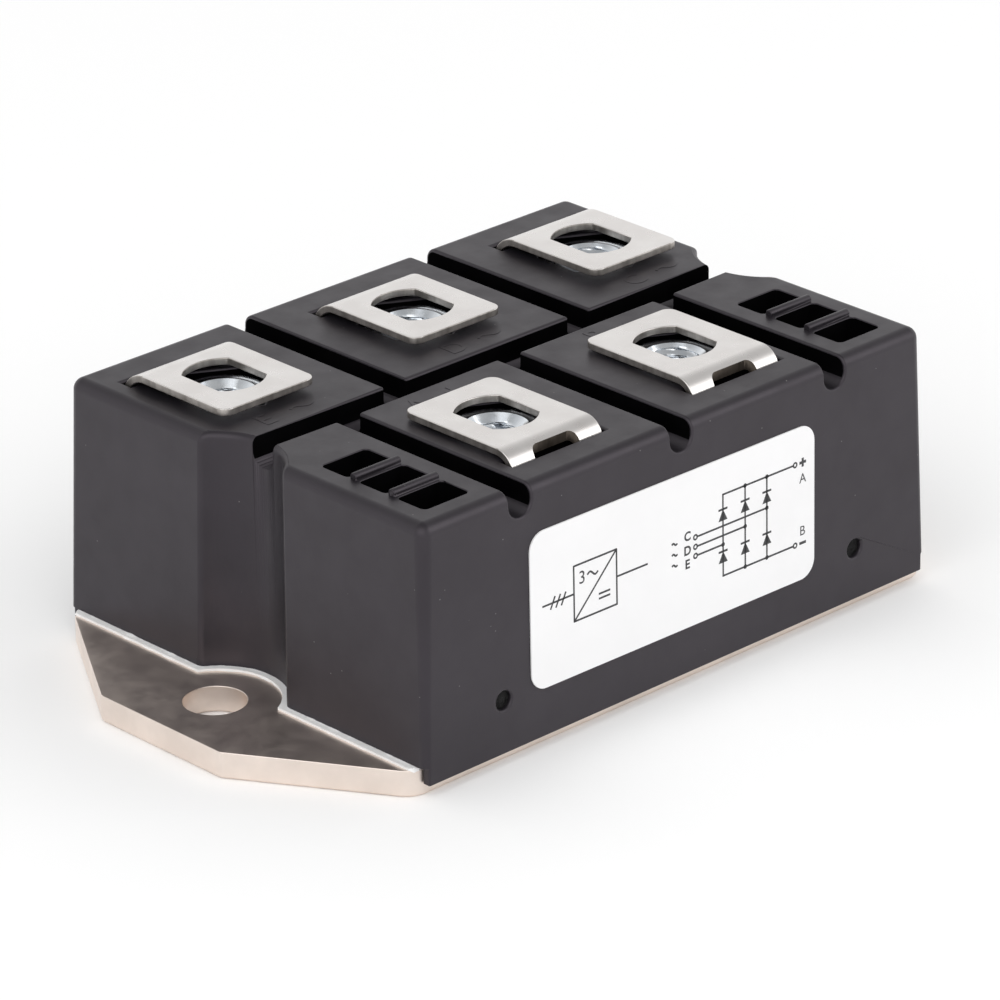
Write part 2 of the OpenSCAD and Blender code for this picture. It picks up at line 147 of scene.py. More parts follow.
def ramp(
    tree: bpy.types.NodeTree, value: Socket, source: Point, result: Sequence, **settings: Any
) -> Socket:
    """Map one range of a value to another, held at its ends.

    Args:
        tree: The node tree.
        value: The value.
        source: Where the range starts and ends.
        result: What comes out there, as numbers or sockets.
        settings: The node's own properties.

    Returns:
        The mapped value.
    """
    names = ("Value", "From Min", "From Max", "To Min", "To Max")
    wanted = dict(zip(names, (value, *source, *result)))
    return add_node(tree, "ShaderNodeMapRange", wanted, **settings)


class Shader:
    """One material's node tree around a Principled surface, read in Object coordinates."""

    def __init__(self, name: str) -> None:
        """Start a material with a plain surface.

        Args:
            name: The material's name.
        """
        self.material = bpy.data.materials.new(name)
        self.material.use_nodes = True
        self.tree = self.material.node_tree
        self.surface = self.tree.nodes["Principled BSDF"]

    @cached_property
    def place(self) -> Socket:
        """The coordinates that the patterns read."""
        return add_node(self.tree, "ShaderNodeTexCoord", output="Object")

    def noise(self, size: float, detail: float, stretch: Triple) -> Socket:
        """A cloudy pattern with features of about one size.

        Args:
            size: Size of the features in metres.
            detail: How many finer layers are added.
            stretch: Scale of the pattern along each axis.

        Returns:
            The pattern's value, about 0.3 to 0.7.
        """
        place = self.place
        if stretch != (1, 1, 1):
            place = add_node(self.tree, "ShaderNodeMapping", {"Vector": place, "Scale": stretch})
        wanted = {"Vector": place, "Scale": 1 / size, "Detail": detail}
        wanted["Roughness"] = NOISE_ROUGHNESS
        return add_node(self.tree, "ShaderNodeTexNoise", wanted, "Fac")

    def specks(self, size: float, share: float) -> Socket:
        """Sparse round specks.

        Args:
            size: Distance between possible specks in metres.
            share: Radius of a speck, as a share of that distance.

        Returns:
            1 in a speck and 0 between them.
        """
        wanted = {"Vector": self.place, "Scale": 1 / size}
        away = add_node(self.tree, "ShaderNodeTexVoronoi", wanted, "Distance")
        return ramp(self.tree, away, (SPECK_CORE * share, share), (1, 0))

    def mixed(self, share: Socket, first: Paint, second: Paint) -> Socket:
        """Mix two colours by the share of the second one."""
        inputs = {0: share, MIX_FIRST: first, MIX_SECOND: second}
        return add_node(self.tree, "ShaderNodeMix", inputs, MIX_RESULT, data_type="RGBA")

    def bump(self, height: Socket, depth: float) -> Socket:
        """The normal of a height from 0 to 1 on bumps of a depth in metres."""
        wanted = {"Height": height, "Strength": 1.0, "Distance": depth}
        return add_node(self.tree, "ShaderNodeBump", wanted)

    def set(self, **values: Any) -> None:
        """Set inputs of the surface, to values or sockets; an underscore stands for a space."""
        for name, value in values.items():
            feed(self.tree, self.surface.inputs[name.replace("_", " ")], value)


@dataclass(frozen=True)
class Finish:
    """A surface with two close colours in soft clouds, uneven gloss and a fine grain."""

    name: str
    dark: Triple
    light: Triple
    cloud: float
    rough: Point
    grain: float
    grain_depth: float
    metallic: float = 0.0
    specular: float = 0.5
    gloss_tint: Triple = (1.0, 1.0, 1.0)
    stretch: Triple = (1, 1, 1)
    cloud_range: Point = (0.35, 0.65)
    gloss_range: Point = (0.3, 0.7)
    gloss_scale: float = 1 / 3
    details: Triple = (4, 3, 2)

    def shader(self) -> Shader:
        """Build the finish's shader."""
        shader = Shader(self.name)
        sizes = (self.cloud, self.cloud * self.gloss_scale, self.grain)
        clouds, gloss, grain = (
            shader.noise(size, detail, self.stretch) for size, detail in zip(sizes, self.details)
        )
        share = ramp(shader.tree, clouds, self.cloud_range, (0, 1))
        shader.set(
            Base_Color=shader.mixed(share, self.dark, self.light),
            Roughness=ramp(shader.tree, gloss, self.gloss_range, self.rough),
            Normal=shader.bump(grain, self.grain_depth),
            Metallic=self.metallic,
            Specular_IOR_Level=self.specular,
            Specular_Tint=self.gloss_tint,
        )
        return shader

    def material(self) -> bpy.types.Material:
        """The finish as a material."""
        return self.shader().material


@dataclass(frozen=True)
class Moulding(Finish):
    """A moulded plastic with pale dust specks."""

    speck: float = 2.4 * MM
    speck_share: float = 0.035
    speck_colour: Triple = (0.16, 0.155, 0.15)

    def material(self) -> bpy.types.Material:
        """The plastic as a material."""
        shader = self.shader()
        colour = shader.surface.inputs["Base Color"].links[0].from_socket
        dust = shader.specks(self.speck, self.speck_share)
        shader.set(Base_Color=shader.mixed(dust, colour, self.speck_colour))
        return shader.material


@dataclass(frozen=True)
class Rubber(Finish):
    """A soft silicone that lets a little light through."""

    depth: float = 0.4 * MM
    share: float = 0.1
    spread: Triple = (1.0, 0.9, 0.8)

    def material(self) -> bpy.types.Material:
        """The silicone as a material."""
        shader = self.shader()
        shader.set(Subsurface_Weight=self.share, Subsurface_Radius=self.spread)
        shader.set(Subsurface_Scale=self.depth)
        return shader.material


PLASTIC = Moulding(
    "black_moulding", (0.0092, 0.0082, 0.0102), (0.0138, 0.0124, 0.0152), cloud=9 * MM,
    rough=(0.36, 0.46), grain=0.22 * MM, grain_depth=0.004 * MM,
    specular=0.55, gloss_tint=(1.0, 0.9, 1.0),
)
# Matte and far darker than the moulding: painted shade on the upright walls of grooves, pockets and
# slots.
RECESS_SHADE_PLASTIC = Moulding(
    "dull_recess", (0.0015, 0.0014, 0.0016), (0.003, 0.0028, 0.0032), cloud=6 * MM,
    rough=(0.8, 0.9), grain=0.3 * MM, grain_depth=0.006 * MM,
    specular=0.0, speck_colour=(0.006, 0.006, 0.006),
)
# Blotches down to near black in the torn plastic: painted shade in the gate pits.
GATE_SCAR_SHADE = Finish(
    "gate_scar", (0.0004, 0.0004, 0.0004), (0.012, 0.0118, 0.012), cloud=0.7 * MM,
    rough=(0.5, 0.7), grain=0.18 * MM, grain_depth=0.05 * MM, specular=0.15,
)
TERMINAL_PLATING = Finish(
    "terminal_plating", (0.74, 0.71, 0.69), (0.8, 0.775, 0.755), cloud=5 * MM,
    rough=(0.26, 0.31), grain=2.5 * MM, grain_depth=0.0004 * MM, metallic=1.0,
)
TERMINAL_EDGE = Finish(
    "terminal_cut_edge", (0.3, 0.278, 0.256), (0.5, 0.47, 0.44), cloud=1.2 * MM,
    rough=(0.38, 0.5), grain=0.3 * MM, grain_depth=0.001 * MM, metallic=1.0, stretch=(1, 1, 0.25),
)
# Far darker than the sheared edges: painted shade on the cut faces inside the window.
WINDOW_SHADE_EDGE = Finish(
    "terminal_window_edge", (0.07, 0.058, 0.048), (0.13, 0.11, 0.092), cloud=1.2 * MM,
    rough=(0.5, 0.62), grain=0.3 * MM, grain_depth=0.001 * MM, metallic=1.0, stretch=(1, 1, 0.25),
)
BASE_PLATING = Finish(
    "base_plating", (0.8, 0.705, 0.638), (0.9, 0.797, 0.724), cloud=6 * MM,
    rough=(0.33, 0.45), grain=0.8 * MM, grain_depth=0.001 * MM, metallic=1.0,
)
ZINC = Finish(
    "bright_zinc", (0.7, 0.74, 0.79), (0.8, 0.83, 0.86), cloud=1.5 * MM,
    rough=(0.12, 0.22), grain=0.6 * MM, grain_depth=0.001 * MM, metallic=1.0,
)
SILICONE = Rubber(
    "white_silicone", (0.93, 0.925, 0.915), (0.97, 0.967, 0.962), cloud=1.2 * MM,
    rough=(0.35, 0.5), grain=0.5 * MM, grain_depth=0.01 * MM,
)
FILM = Finish(
    "label_film", (0.92, 0.915, 0.92), (0.95, 0.945, 0.95), cloud=12 * MM,
    rough=(0.32, 0.4), grain=0.3 * MM, grain_depth=0.0008 * MM,
)
INK = Finish(
    "label_ink", (0.025, 0.025, 0.027), (0.055, 0.055, 0.058), cloud=0.35 * MM,
    rough=(0.45, 0.6), grain=0.1 * MM, grain_depth=0.001 * MM,
)
COPPER = Finish(
    "bare_copper", (0.6, 0.29, 0.17), (0.74, 0.42, 0.27), cloud=4 * MM,
    rough=(0.28, 0.42), grain=0.1 * MM, grain_depth=0.002 * MM, metallic=1.0,
)
TINNED = Finish(
    "tinned_copper", (0.62, 0.4, 0.27), (0.76, 0.56, 0.42), cloud=2 * MM,
    rough=(0.3, 0.45), grain=0.1 * MM, grain_depth=0.002 * MM, metallic=1.0,
)
ALUMINA = Finish(
    "white_alumina", (0.8, 0.78, 0.72), (0.88, 0.86, 0.81), cloud=5 * MM,
    rough=(0.5, 0.65), grain=0.15 * MM, grain_depth=0.004 * MM,
)
SILICON = Finish(
    "silicon_chip", (0.11, 0.12, 0.15), (0.2, 0.21, 0.24), cloud=2 * MM,
    rough=(0.15, 0.28), grain=0.2 * MM, grain_depth=0.001 * MM, metallic=0.6,
)
GEL = Rubber(
    "silicone_gel", (0.66, 0.64, 0.56), (0.78, 0.76, 0.68), cloud=8 * MM,
    rough=(0.12, 0.25), grain=1.5 * MM, grain_depth=0.02 * MM, depth=3 * MM,
)


def axes_at(right: Vector, up: Vector, out: Vector, origin: Vector) -> Matrix:
    """A frame from its three axes and its origin.

    Args:
        right: Its X axis.
        up: Its Y axis.
        out: Its Z axis.
        origin: Its origin.

    Returns:
        The frame's matrix.
    """
    matrix = Matrix.Identity(4)
    for number, axis in enumerate((right, up, out, origin)):
        matrix.col[number][:3] = axis
    return matrix


def edge_middle(edge: bmesh.types.BMEdge) -> Vector:
    """The middle of an edge."""
    return (edge.verts[0].co + edge.verts[1].co) / 2


def bridge(bm: bmesh.types.BMesh, first: Ring, second: Ring) -> None:
    """Join two rings of as many points.

    Args:
        bm: The shape.
        first: One ring.
        second: The next one.
    """
    for step in range(len(first)):
        after = (step + 1) % len(first)
        bm.faces.new((first[step], first[after], second[after], second[step]))


def loft(bm: bmesh.types.BMesh, rings: list[Ring], closed: bool = False) -> None:
    """Join a row of rings, and cap its ends or join them too.

    Args:
        bm: The shape.
        rings: The rings.
        closed: Whether the last ring joins the first.
    """
    for first, second in zip(rings, rings[1:] + (rings[:1] if closed else [])):
        bridge(bm, first, second)
    if not closed:
        bm.faces.new(rings[0])
        bm.faces.new(rings[-1])


def merged_copy(node: bpy.types.Object) -> bmesh.types.BMesh:
    """Copy a node's mesh, closed and with its flat areas joined.

    Args:
        node: The node's object.

    Returns:
        The copy.
    """
    bm = bmesh.new()
    bm.from_mesh(node.data)
    bmesh.ops.remove_doubles(bm, verts=bm.verts, dist=MERGE)
    bmesh.ops.dissolve_limit(
        bm, angle_limit=FLAT_ANGLE, verts=bm.verts, edges=bm.edges, delimit={"NORMAL"}
    )
    return bm


def plain_mesh(bm: bmesh.types.BMesh, name: str) -> bpy.types.Mesh:
    """Turn a BMesh into a mesh and free it.

    Args:
        bm: The shape.
        name: The mesh's name.

    Returns:
        The mesh.
    """
    mesh = bpy.data.meshes.new(name)
    bm.to_mesh(mesh)
    bm.free()
    return mesh


def smooth_mesh(
    bm: bmesh.types.BMesh, name: str, crease: Optional[float] = None
) -> bpy.types.Mesh:
    """Turn a BMesh into a smooth mesh that faces outwards, and free it.

    Args:
        bm: The shape.
        name: The mesh's name.
        crease: The angle from which an edge stays sharp, if any does.

    Returns:
        The mesh.
    """
    bmesh.ops.recalc_face_normals(bm, faces=bm.faces)
    mesh = plain_mesh(bm, name)
    mesh.shade_smooth()
    if crease is not None:
        mesh.set_sharp_from_angle(angle=crease)
    return mesh


def applied(obj: bpy.types.Object, name: str) -> bpy.types.Mesh:
    """Turn an object with its modifiers into a plain mesh and remove the object.

    Args:
        obj: The object.
        name: The mesh's name.

    Returns:
        The plain mesh.
    """
    graph = bpy.context.evaluated_depsgraph_get()
    mesh = bpy.data.meshes.new_from_object(
        obj.evaluated_get(graph), preserve_all_data_layers=True, depsgraph=graph
    )
    mesh.name = name
    bpy.data.objects.remove(obj)
    return mesh


def scene_object(name: str, data: bpy.types.ID) -> bpy.types.Object:
    """Link a new object into the scene.

    Args:
        name: The object's name.
        data: Its mesh, light, camera or curve.

    Returns:
        The object.
    """
    obj = bpy.data.objects.new(name, data)
    bpy.context.scene.collection.objects.link(obj)
    return obj


def modify(obj: bpy.types.Object, kind: str, **settings: Any) -> None:
    """Put a modifier on an object.

    Args:
        obj: The object.
        kind: The modifier's type.
        settings: Its properties.
    """
    modifier = obj.modifiers.new(kind.lower(), kind)
    for name, value in settings.items():
        setattr(modifier, name, value)


def rounded(
    bm: bmesh.types.BMesh,
    name: str,
    widths: Callable[[bmesh.types.BMEdge], float],
    segments: int = 3,
) -> bpy.types.Mesh:
    """Round a shape's sharp edges and shade it smooth.

    Args:
        bm: The shape, which is freed.
        name: The mesh's name.
        widths: Gives the width of the round on a sharp edge, in metres.
        segments: Faces across a round.

    Returns:
        The finished mesh.
    """
    weights = bm.edges.layers.float.new("bevel_weight_edge")
    bm.normal_update()
    for edge in bm.edges:
        if edge.is_manifold and edge.is_convex and edge.calc_face_angle(0) > SHARP_ANGLE:
            edge[weights] = min(1.0, widths(edge) / FULL_ROUND)
    obj = scene_object(name + "_rough", plain_mesh(bm, name))
    modify(
        obj, "BEVEL", limit_method="WEIGHT", offset_type="OFFSET", width=FULL_ROUND,
        segments=segments, use_clamp_overlap=False, miter_outer="MITER_SHARP",
    )
    mesh = applied(obj, name)
    mesh.shade_smooth()
    mesh.set_sharp_from_angle(angle=SMOOTH_ANGLE)
    obj = scene_object(name + "_shaded", mesh)
    modify(obj, "WEIGHTED_NORMAL", keep_sharp=True, weight=FACE_WEIGHT)
    return applied(obj, name)


def dress(node: bpy.types.Object, material: bpy.types.Material) -> None:
    """Give one material to a node that keeps its solid."""
    node.data.materials.clear()
    node.data.materials.append(material)


def add_piece(
    name: str,
    mesh: bpy.types.Mesh,
    materials: Sequence[bpy.types.Material] = (),
    replaces: Sequence[str] = (),
) -> None:
    """Add a finished mesh as a piece of the object.

    Args:
        name: The piece's name.
        mesh: Its mesh, in place.
        materials: Its materials; none leaves those that the mesh has.
        replaces: The nodes that it stands for.
    """
    if materials:
        numbers = [face.material_index for face in mesh.polygons]
        mesh.materials.clear()
        for material in materials:
            mesh.materials.append(material)
        mesh.polygons.foreach_set("material_index", numbers)
    piece = scene_object(name, mesh)
    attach(piece, BODY)
    if replaces:
        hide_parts(*replaces)
    LOG.info("%s: %d faces", name, len(mesh.polygons))


@dataclass
class Housing:
    """The black moulding, with rounded mould edges and its two gate scars."""

    node: bpy.types.Object
    hole_x: float
    edge: float = 0.3 * MM
    fine_edge: float = 0.12 * MM
    segments: int = 4
    notch_edge: float = 1.0 * MM
    notch_flare: float = 0.7 * MM
    notch_radius: float = 7.5 * MM
    wall_skim: float = 0.01 * MM
    notch_extra: float = 0.005 * MM
    notch_skin: float = 0.15 * MM
    notch_arc_steps: int = 8
    notch_turn_steps: int = 40
    top_round: float = 1.3 * MM
    top_levels: int = 10
    beside: float = 2 * MM
    overrun: float = 1 * MM
    foot_rise: float = 2.5 * MM
    inner_depth: float = 1.5 * MM
    deck_depth: float = 7 * MM
    pin_reach: float = 11.5 * MM
    ridge_rise: float = 0.7 * MM
    rim: float = 2.2 * MM
    recess_start: float = 0.55 * MM
    upright_share: float = 0.5
    recess_depth: float = 14 * MM
    scar_end: float = 10.85 * MM
    scar_z: float = 7.2 * MM
    scar_inset: float = 0.1 * MM
    scar_radius: float = 0.97 * MM
    scar_depth: float = 0.55 * MM
    scar_grain: float = 0.45 * MM
    scar_octaves: tuple[float, float, int] = (0.8, 2.0, 3)
    scar_fill: float = 0.45
    scar_change: float = 0.3
    scar_slope: float = 0.5
    scar_rings: int = 9
    scar_steps: int = 36
    low: Vector = field(init=False)
    high: Vector = field(init=False)
    top: float = field(init=False)

    def __post_init__(self) -> None:
        """Measure the moulding once."""
        self.low, self.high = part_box("housing")
        self.top = self.high.z - self.ridge_rise

    def from_hole(self, place: Vector) -> float:
        """How far a place lies from the axis of the nearer mounting hole."""
        return math.hypot(abs(place.x) - self.hole_x, place.y)

    def width(self, edge: bmesh.types.BMEdge) -> float:
        """The round of one sharp edge.

        Args:
            edge: An edge of the moulding.

        Returns:
            The width of its round in metres, 0 inside the shell.
        """
        low, high = self.low, self.high
        middle = edge_middle(edge)
        inside = (
            abs(middle.x) < high.x - self.inner_depth
            and abs(middle.y) < high.y - self.inner_depth
            and middle.z < self.top - self.deck_depth
        )
        if inside or self.from_hole(middle) < self.notch_radius + self.notch_edge:
            return 0.0
        at_pins = abs(middle.x) > high.x - self.pin_reach and middle.y < -self.notch_radius
        at_end = abs(middle.x) > high.x - 2 * self.top_round
        at_rim = at_end or middle.y < low.y + 2 * self.top_round
        if middle.z < low.z + self.foot_rise or (at_pins and not at_rim):
            return self.fine_edge
        return self.edge

    def in_recess(self, place: Vector) -> bool:
        """Tell whether a place lies in a groove, pocket or slot of the top.

        Args:
            place: A face's middle.

        Returns:
            True where the mould is left dull.
        """
        return (
            abs(place.x) < self.high.x - self.rim
            and abs(place.y) < self.high.y - self.rim
            and self.from_hole(place) > self.notch_radius + self.notch_skin
            and self.top - self.recess_depth < place.z < self.top - self.recess_start
        )

    def wall_x(self, tree: BVHTree, z: float) -> float:
        """Where the end wall of the moulding's surface stands at a height, beside its notch."""
        start = Vector((2 * self.high.x, self.notch_radius + self.beside, z))
        return tree.ray_cast(start, Vector((-1, 0, 0)))[0].x

    def notch_section(self, wall: float, flare: float) -> list[Point]:
        """Outline of a notch's room at one height, with rounded corners.

        Args:
            wall: Where the end wall stands.
            flare: How much wider the notch is there.

        Returns:
            The outline's corners, for the right end.
        """
        wall += self.wall_skim
        radius = self.notch_radius + self.notch_extra + flare
        inset = self.hole_x - wall + self.notch_edge
        middle_y = math.sqrt((radius + self.notch_edge) ** 2 - inset**2)
        spread = math.atan2(middle_y, inset)
        upper = [(self.hole_x, middle_y)]
        for step in range(self.notch_arc_steps + 1):
            turn = -spread * step / self.notch_arc_steps
            x = wall - self.notch_edge + self.notch_edge * math.cos(turn)
            upper.append((x, middle_y + self.notch_edge * math.sin(turn)))
        curve = []
        for step in range(1, self.notch_turn_steps):
            turn = math.pi - spread + 2 * spread * step / self.notch_turn_steps
            curve.append((self.hole_x + radius * math.cos(turn), radius * math.sin(turn)))
        return upper + curve + [(x, -y) for x, y in reversed(upper)]

    def notch_cutter(self) -> bpy.types.Object:
        """The room of both end notches, with the rounds of their upright and upper edges.

        Returns:
            The object that is cut out of the moulding.
        """
        bm = bmesh.new()
        bm.from_mesh(self.node.data)
        tree = BVHTree.FromBMesh(bm)
        bm.free()
        start = self.top - self.top_round
        foot = self.low.z + self.top_round + self.beside
        sections = []
        for z, at in ((self.low.z - self.overrun, foot), (foot, foot), (start, start)):
            sections.append((z, self.notch_section(self.wall_x(tree, at), 0.0)))
        for level in range(1, self.top_levels):
            z = start + self.top_round * math.sin(math.pi / 2 * level / self.top_levels)
            rise = max(0.0, z - (self.top - self.notch_flare))
            flare = self.notch_flare - math.sqrt(self.notch_flare**2 - rise**2)
            sections.append((z, self.notch_section(self.wall_x(tree, z), flare)))
        sections.append((self.top + self.overrun, sections[-1][1]))
        bm = bmesh.new()
        for end in ENDS:
            rings = [[bm.verts.new((end * x, y, z)) for x, y in line] for z, line in sections]
            loft(bm, rings)
        bmesh.ops.recalc_face_normals(bm, faces=bm.faces)
        return scene_object("notch_cutter", plain_mesh(bm, "notch_cutter"))

    def build(self) -> None:
        """Add the moulding."""
        rough = scene_object("housing_solid", plain_mesh(merged_copy(self.node), "housing_solid"))
        cutter = self.notch_cutter()
        modify(rough, "BOOLEAN", operation="DIFFERENCE", solver="EXACT", object=cutter)
        bm = bmesh.new()
        bm.from_mesh(applied(rough, "housing_cut"))
        bpy.data.objects.remove(cutter)
        bmesh.ops.remove_doubles(bm, verts=bm.verts, dist=MERGE)
        mesh = rounded(bm, "housing_moulding", self.width, self.segments)
        # Upright walls deep in the recesses take the darker plastic, painted shade of the grooves,
        # pockets and slots.
        for face in mesh.polygons:
            upright = abs(face.normal.z) < self.upright_share
            face.material_index = 1 if upright and self.in_recess(face.center) else 0
        finishes = [PLASTIC.material(), RECESS_SHADE_PLASTIC.material()]
        add_piece("housing_moulding", mesh, finishes, ["housing"])

    def scar_ring(self, place: Vector, ring: int) -> list[Vector]:
        """One ring of the torn plastic in a gate mark.

        Args:
            place: Middle of the gate mark's mouth.
            ring: The ring's number; 0 is one point in the middle.

        Returns:
            The ring's points.
        """
        radius = self.scar_radius * ring / self.scar_rings
        count = self.scar_steps if ring else 1
        points = []
        for step in range(count):
            turn = 2 * math.pi * step / count
            spot = Vector((radius * math.cos(turn), 0, radius * math.sin(turn)))
            rough = noise.fractal((spot + place) / self.scar_grain, *self.scar_octaves)
            fade = 1 - self.scar_slope * ring / self.scar_rings
            rise = self.scar_depth * (self.scar_fill + self.scar_change * rough) * fade
            points.append(place + spot + Vector((0, self.scar_depth - rise, 0)))
        return points

    def gate_scars(self) -> None:
        """Add the torn plastic at the bottom of both gate marks, darkened towards black as painted
        shade of the pits.
        """
        bm = bmesh.new()
        mouth = Vector((self.high.x - self.scar_end, self.low.y + self.scar_inset, self.scar_z))
        for place in (mouth, Vector((-mouth.x, mouth.y, mouth.z))):
            rings = []
            for ring in range(self.scar_rings + 1):
                rings.append([bm.verts.new(point) for point in self.scar_ring(place, ring)])
            for step in range(self.scar_steps):
                after = (step + 1) % self.scar_steps
                bm.faces.new((rings[0][0], rings[1][after], rings[1][step]))
            for inner, outer in zip(rings[1:], rings[2:]):
                bridge(bm, inner, outer)
        mesh = smooth_mesh(bm, "gate_scars")
        add_piece("gate_scars", mesh, [GATE_SCAR_SHADE.material()])


@dataclass
class BasePlate:
    """The plated copper base, stamped from above, so that its lower edges are rolled."""

    node: bpy.types.Object
    rolled: float = 0.45 * MM
    crisp: float = 0.1 * MM
    segments: int = 4
    middle_z: float = field(init=False)

    def __post_init__(self) -> None:
        """Find the middle of the plate's thickness."""
        low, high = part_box("base_plate")
        self.middle_z = (low.z + high.z) / 2

    def width(self, edge: bmesh.types.BMEdge) -> float:
        """The round of one sharp edge, wide below and narrow above."""
        return self.rolled if edge_middle(edge).z < self.middle_z else self.crisp

    def build(self) -> None:
        """Add the plate."""
        mesh = rounded(merged_copy(self.node), "base_plate_sheet", self.width, self.segments)
        add_piece("base_plate_sheet", mesh, [BASE_PLATING.material()], ["base_plate"])


@dataclass
class Terminal:
    """One bent terminal with bright faces, dull sheared edges and window edges darkened as painted
    shade.
    """

    node: bpy.types.Object
    row: Row
    input_bend: float = 3.2 * MM
    output_bend: float = 2.5 * MM
    foot_radius: float = 1.5 * MM
    edge: float = 0.12 * MM
    window_reach: float = 3.6 * MM
    cut_share: float = 0.9
    sheet_share: float = 0.97
    low: Vector = field(init=False)
    high: Vector = field(init=False)
    bend: float = field(init=False)
    leg: float = field(init=False)

    def __post_init__(self) -> None:
        """Measure the terminal once; the back row has the wider bend."""
        self.low, self.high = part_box(self.node.name)
        back = self.row is Row.INPUT
        self.bend = self.input_bend if back else self.output_bend
        self.leg = self.high.y if back else -self.low.y

    def sheet_normal(self, place: Vector) -> Vector:
        """The sheet's own direction at a place, across its thickness.

        Args:
            place: A point on the terminal.

        Returns:
            The unit direction.
        """
        if place.z > self.high.z - self.bend:
            centre_y, centre_z, facing = self.leg - self.bend, self.high.z - self.bend, 1
        elif place.z < self.low.z + self.foot_radius:
            centre_y, centre_z = self.leg - self.foot_radius, self.low.z + self.foot_radius
            facing = -1
        else:
            return Vector((0, 1, 0))
        past = place.y * self.row.value - centre_y
        if past < 0:
            return Vector((0, 0, facing))
        return Vector((0, past * self.row.value, place.z - centre_z)).normalized()

    def in_window(self, place: Vector) -> bool:
        """Tell whether a place lies past the start of the bend and between its strips."""
        past_bend = place.y * self.row.value > self.leg - self.bend
        return past_bend and abs(place.x - (self.low.x + self.high.x) / 2) < self.window_reach

    def width(self, edge: bmesh.types.BMEdge) -> float:
        """The round of one sharp edge, none around the window between the bent strips."""
        return 0.0 if self.in_window(edge_middle(edge)) else self.edge

    def smooth_bend(self, mesh: bpy.types.Mesh) -> None:
        """Shade the sheet's two faces by the bend's own curve.

        Args:
            mesh: The terminal's mesh.
        """
        normals = [corner.vector.copy() for corner in mesh.corner_normals]
        for face in mesh.polygons:
            facing = face.normal.dot(self.sheet_normal(face.center))
            if abs(facing) < self.sheet_share:
                continue
            for corner in face.loop_indices:
                place = mesh.vertices[mesh.loops[corner].vertex_index].co
                normals[corner] = math.copysign(1, facing) * self.sheet_normal(place)
        mesh.normals_split_custom_set(normals)

    def build(self, materials: Sequence[bpy.types.Material]) -> None:
        """Add the terminal.

        Args:
            materials: Those of the faces, the sheared edges and the window's edges, whose darker
                finish is painted shade.
        """
        bm = merged_copy(self.node)
        bm.normal_update()
        for face in bm.faces:
            middle = face.calc_center_median()
            if abs(face.normal.dot(self.sheet_normal(middle))) < self.cut_share:
                # Cut faces inside the window take the darkest finish, painted shade of the slot
                # below.
                face.material_index = 2 if self.in_window(middle) else 1
        name = self.node.name + "_sheet"
        mesh = rounded(bm, name, self.width)
        self.smooth_bend(mesh)
        add_piece(name, mesh, materials, [self.node.name])


class TreeSketch:
    """A Geometry Nodes tree in the making."""

    def __init__(self, name: str) -> None:
        """Start a tree with one geometry in and out.

        Args:
            name: The tree's name.
        """
        self.group = bpy.data.node_groups.new(name, "GeometryNodeTree")
        for way in ("INPUT", "OUTPUT"):
            self.group.interface.new_socket(
                name="Geometry", in_out=way, socket_type="NodeSocketGeometry"
            )
        self.entry = self.group.nodes.new("NodeGroupInput")
        self.exit = self.group.nodes.new("NodeGroupOutput")

    @property
    def geometry(self) -> Socket:
        """The geometry that comes in."""
        return self.entry.outputs["Geometry"]

    def input(self, name: str, kind: str) -> Socket:
        """Add a named input of a socket type, and give its socket inside the tree."""
        self.group.interface.new_socket(name=name, in_out="INPUT", socket_type=kind)
        return self.entry.outputs[name]

    def node(self, kind: str, **inputs: Any) -> Socket:
        """Add a node with inputs by name, and give its first output."""
        return add_node(self.group, kind, inputs)

    def times(self, value: Socket, factor: float) -> Socket:
        """A value times a number."""
        inputs = {0: value, 1: factor}
        return add_node(self.group, "ShaderNodeMath", inputs, operation="MULTIPLY")

    def finish(self, geometry: Socket, material: Socket) -> bpy.types.NodeTree:
        """End the tree with real meshes in one material.

        Args:
            geometry: The instances.
            material: The material.

        Returns:
            The finished tree.
        """
        real = self.node("GeometryNodeRealizeInstances", Geometry=geometry)
        dressed = self.node("GeometryNodeSetMaterial", Geometry=real, Material=material)
        self.group.links.new(dressed, self.exit.inputs["Geometry"])
        return self.group


def grown_mesh(
    name: str, points: Sequence[Triple], tree: bpy.types.NodeTree, values: dict
) -> bpy.types.Mesh:
    """Run a tree on points, with its inputs set by their identifiers.

    Args:
        name: The mesh's name.
        points: The points.
        tree: The tree.
        values: Input values by name.

    Returns:
        The result as a plain mesh.
    """
    mesh = bpy.data.meshes.new(name + "_points")
    mesh.from_pydata(points, [], [])
    holder = scene_object(name + "_points", mesh)
    modifier = holder.modifiers.new(tree.name, "NODES")
    modifier.node_group = tree
    for item in tree.interface.items_tree:
        if item.in_out == "INPUT" and item.name in values:
            modifier[item.identifier] = values[item.name]
    return applied(holder, name)


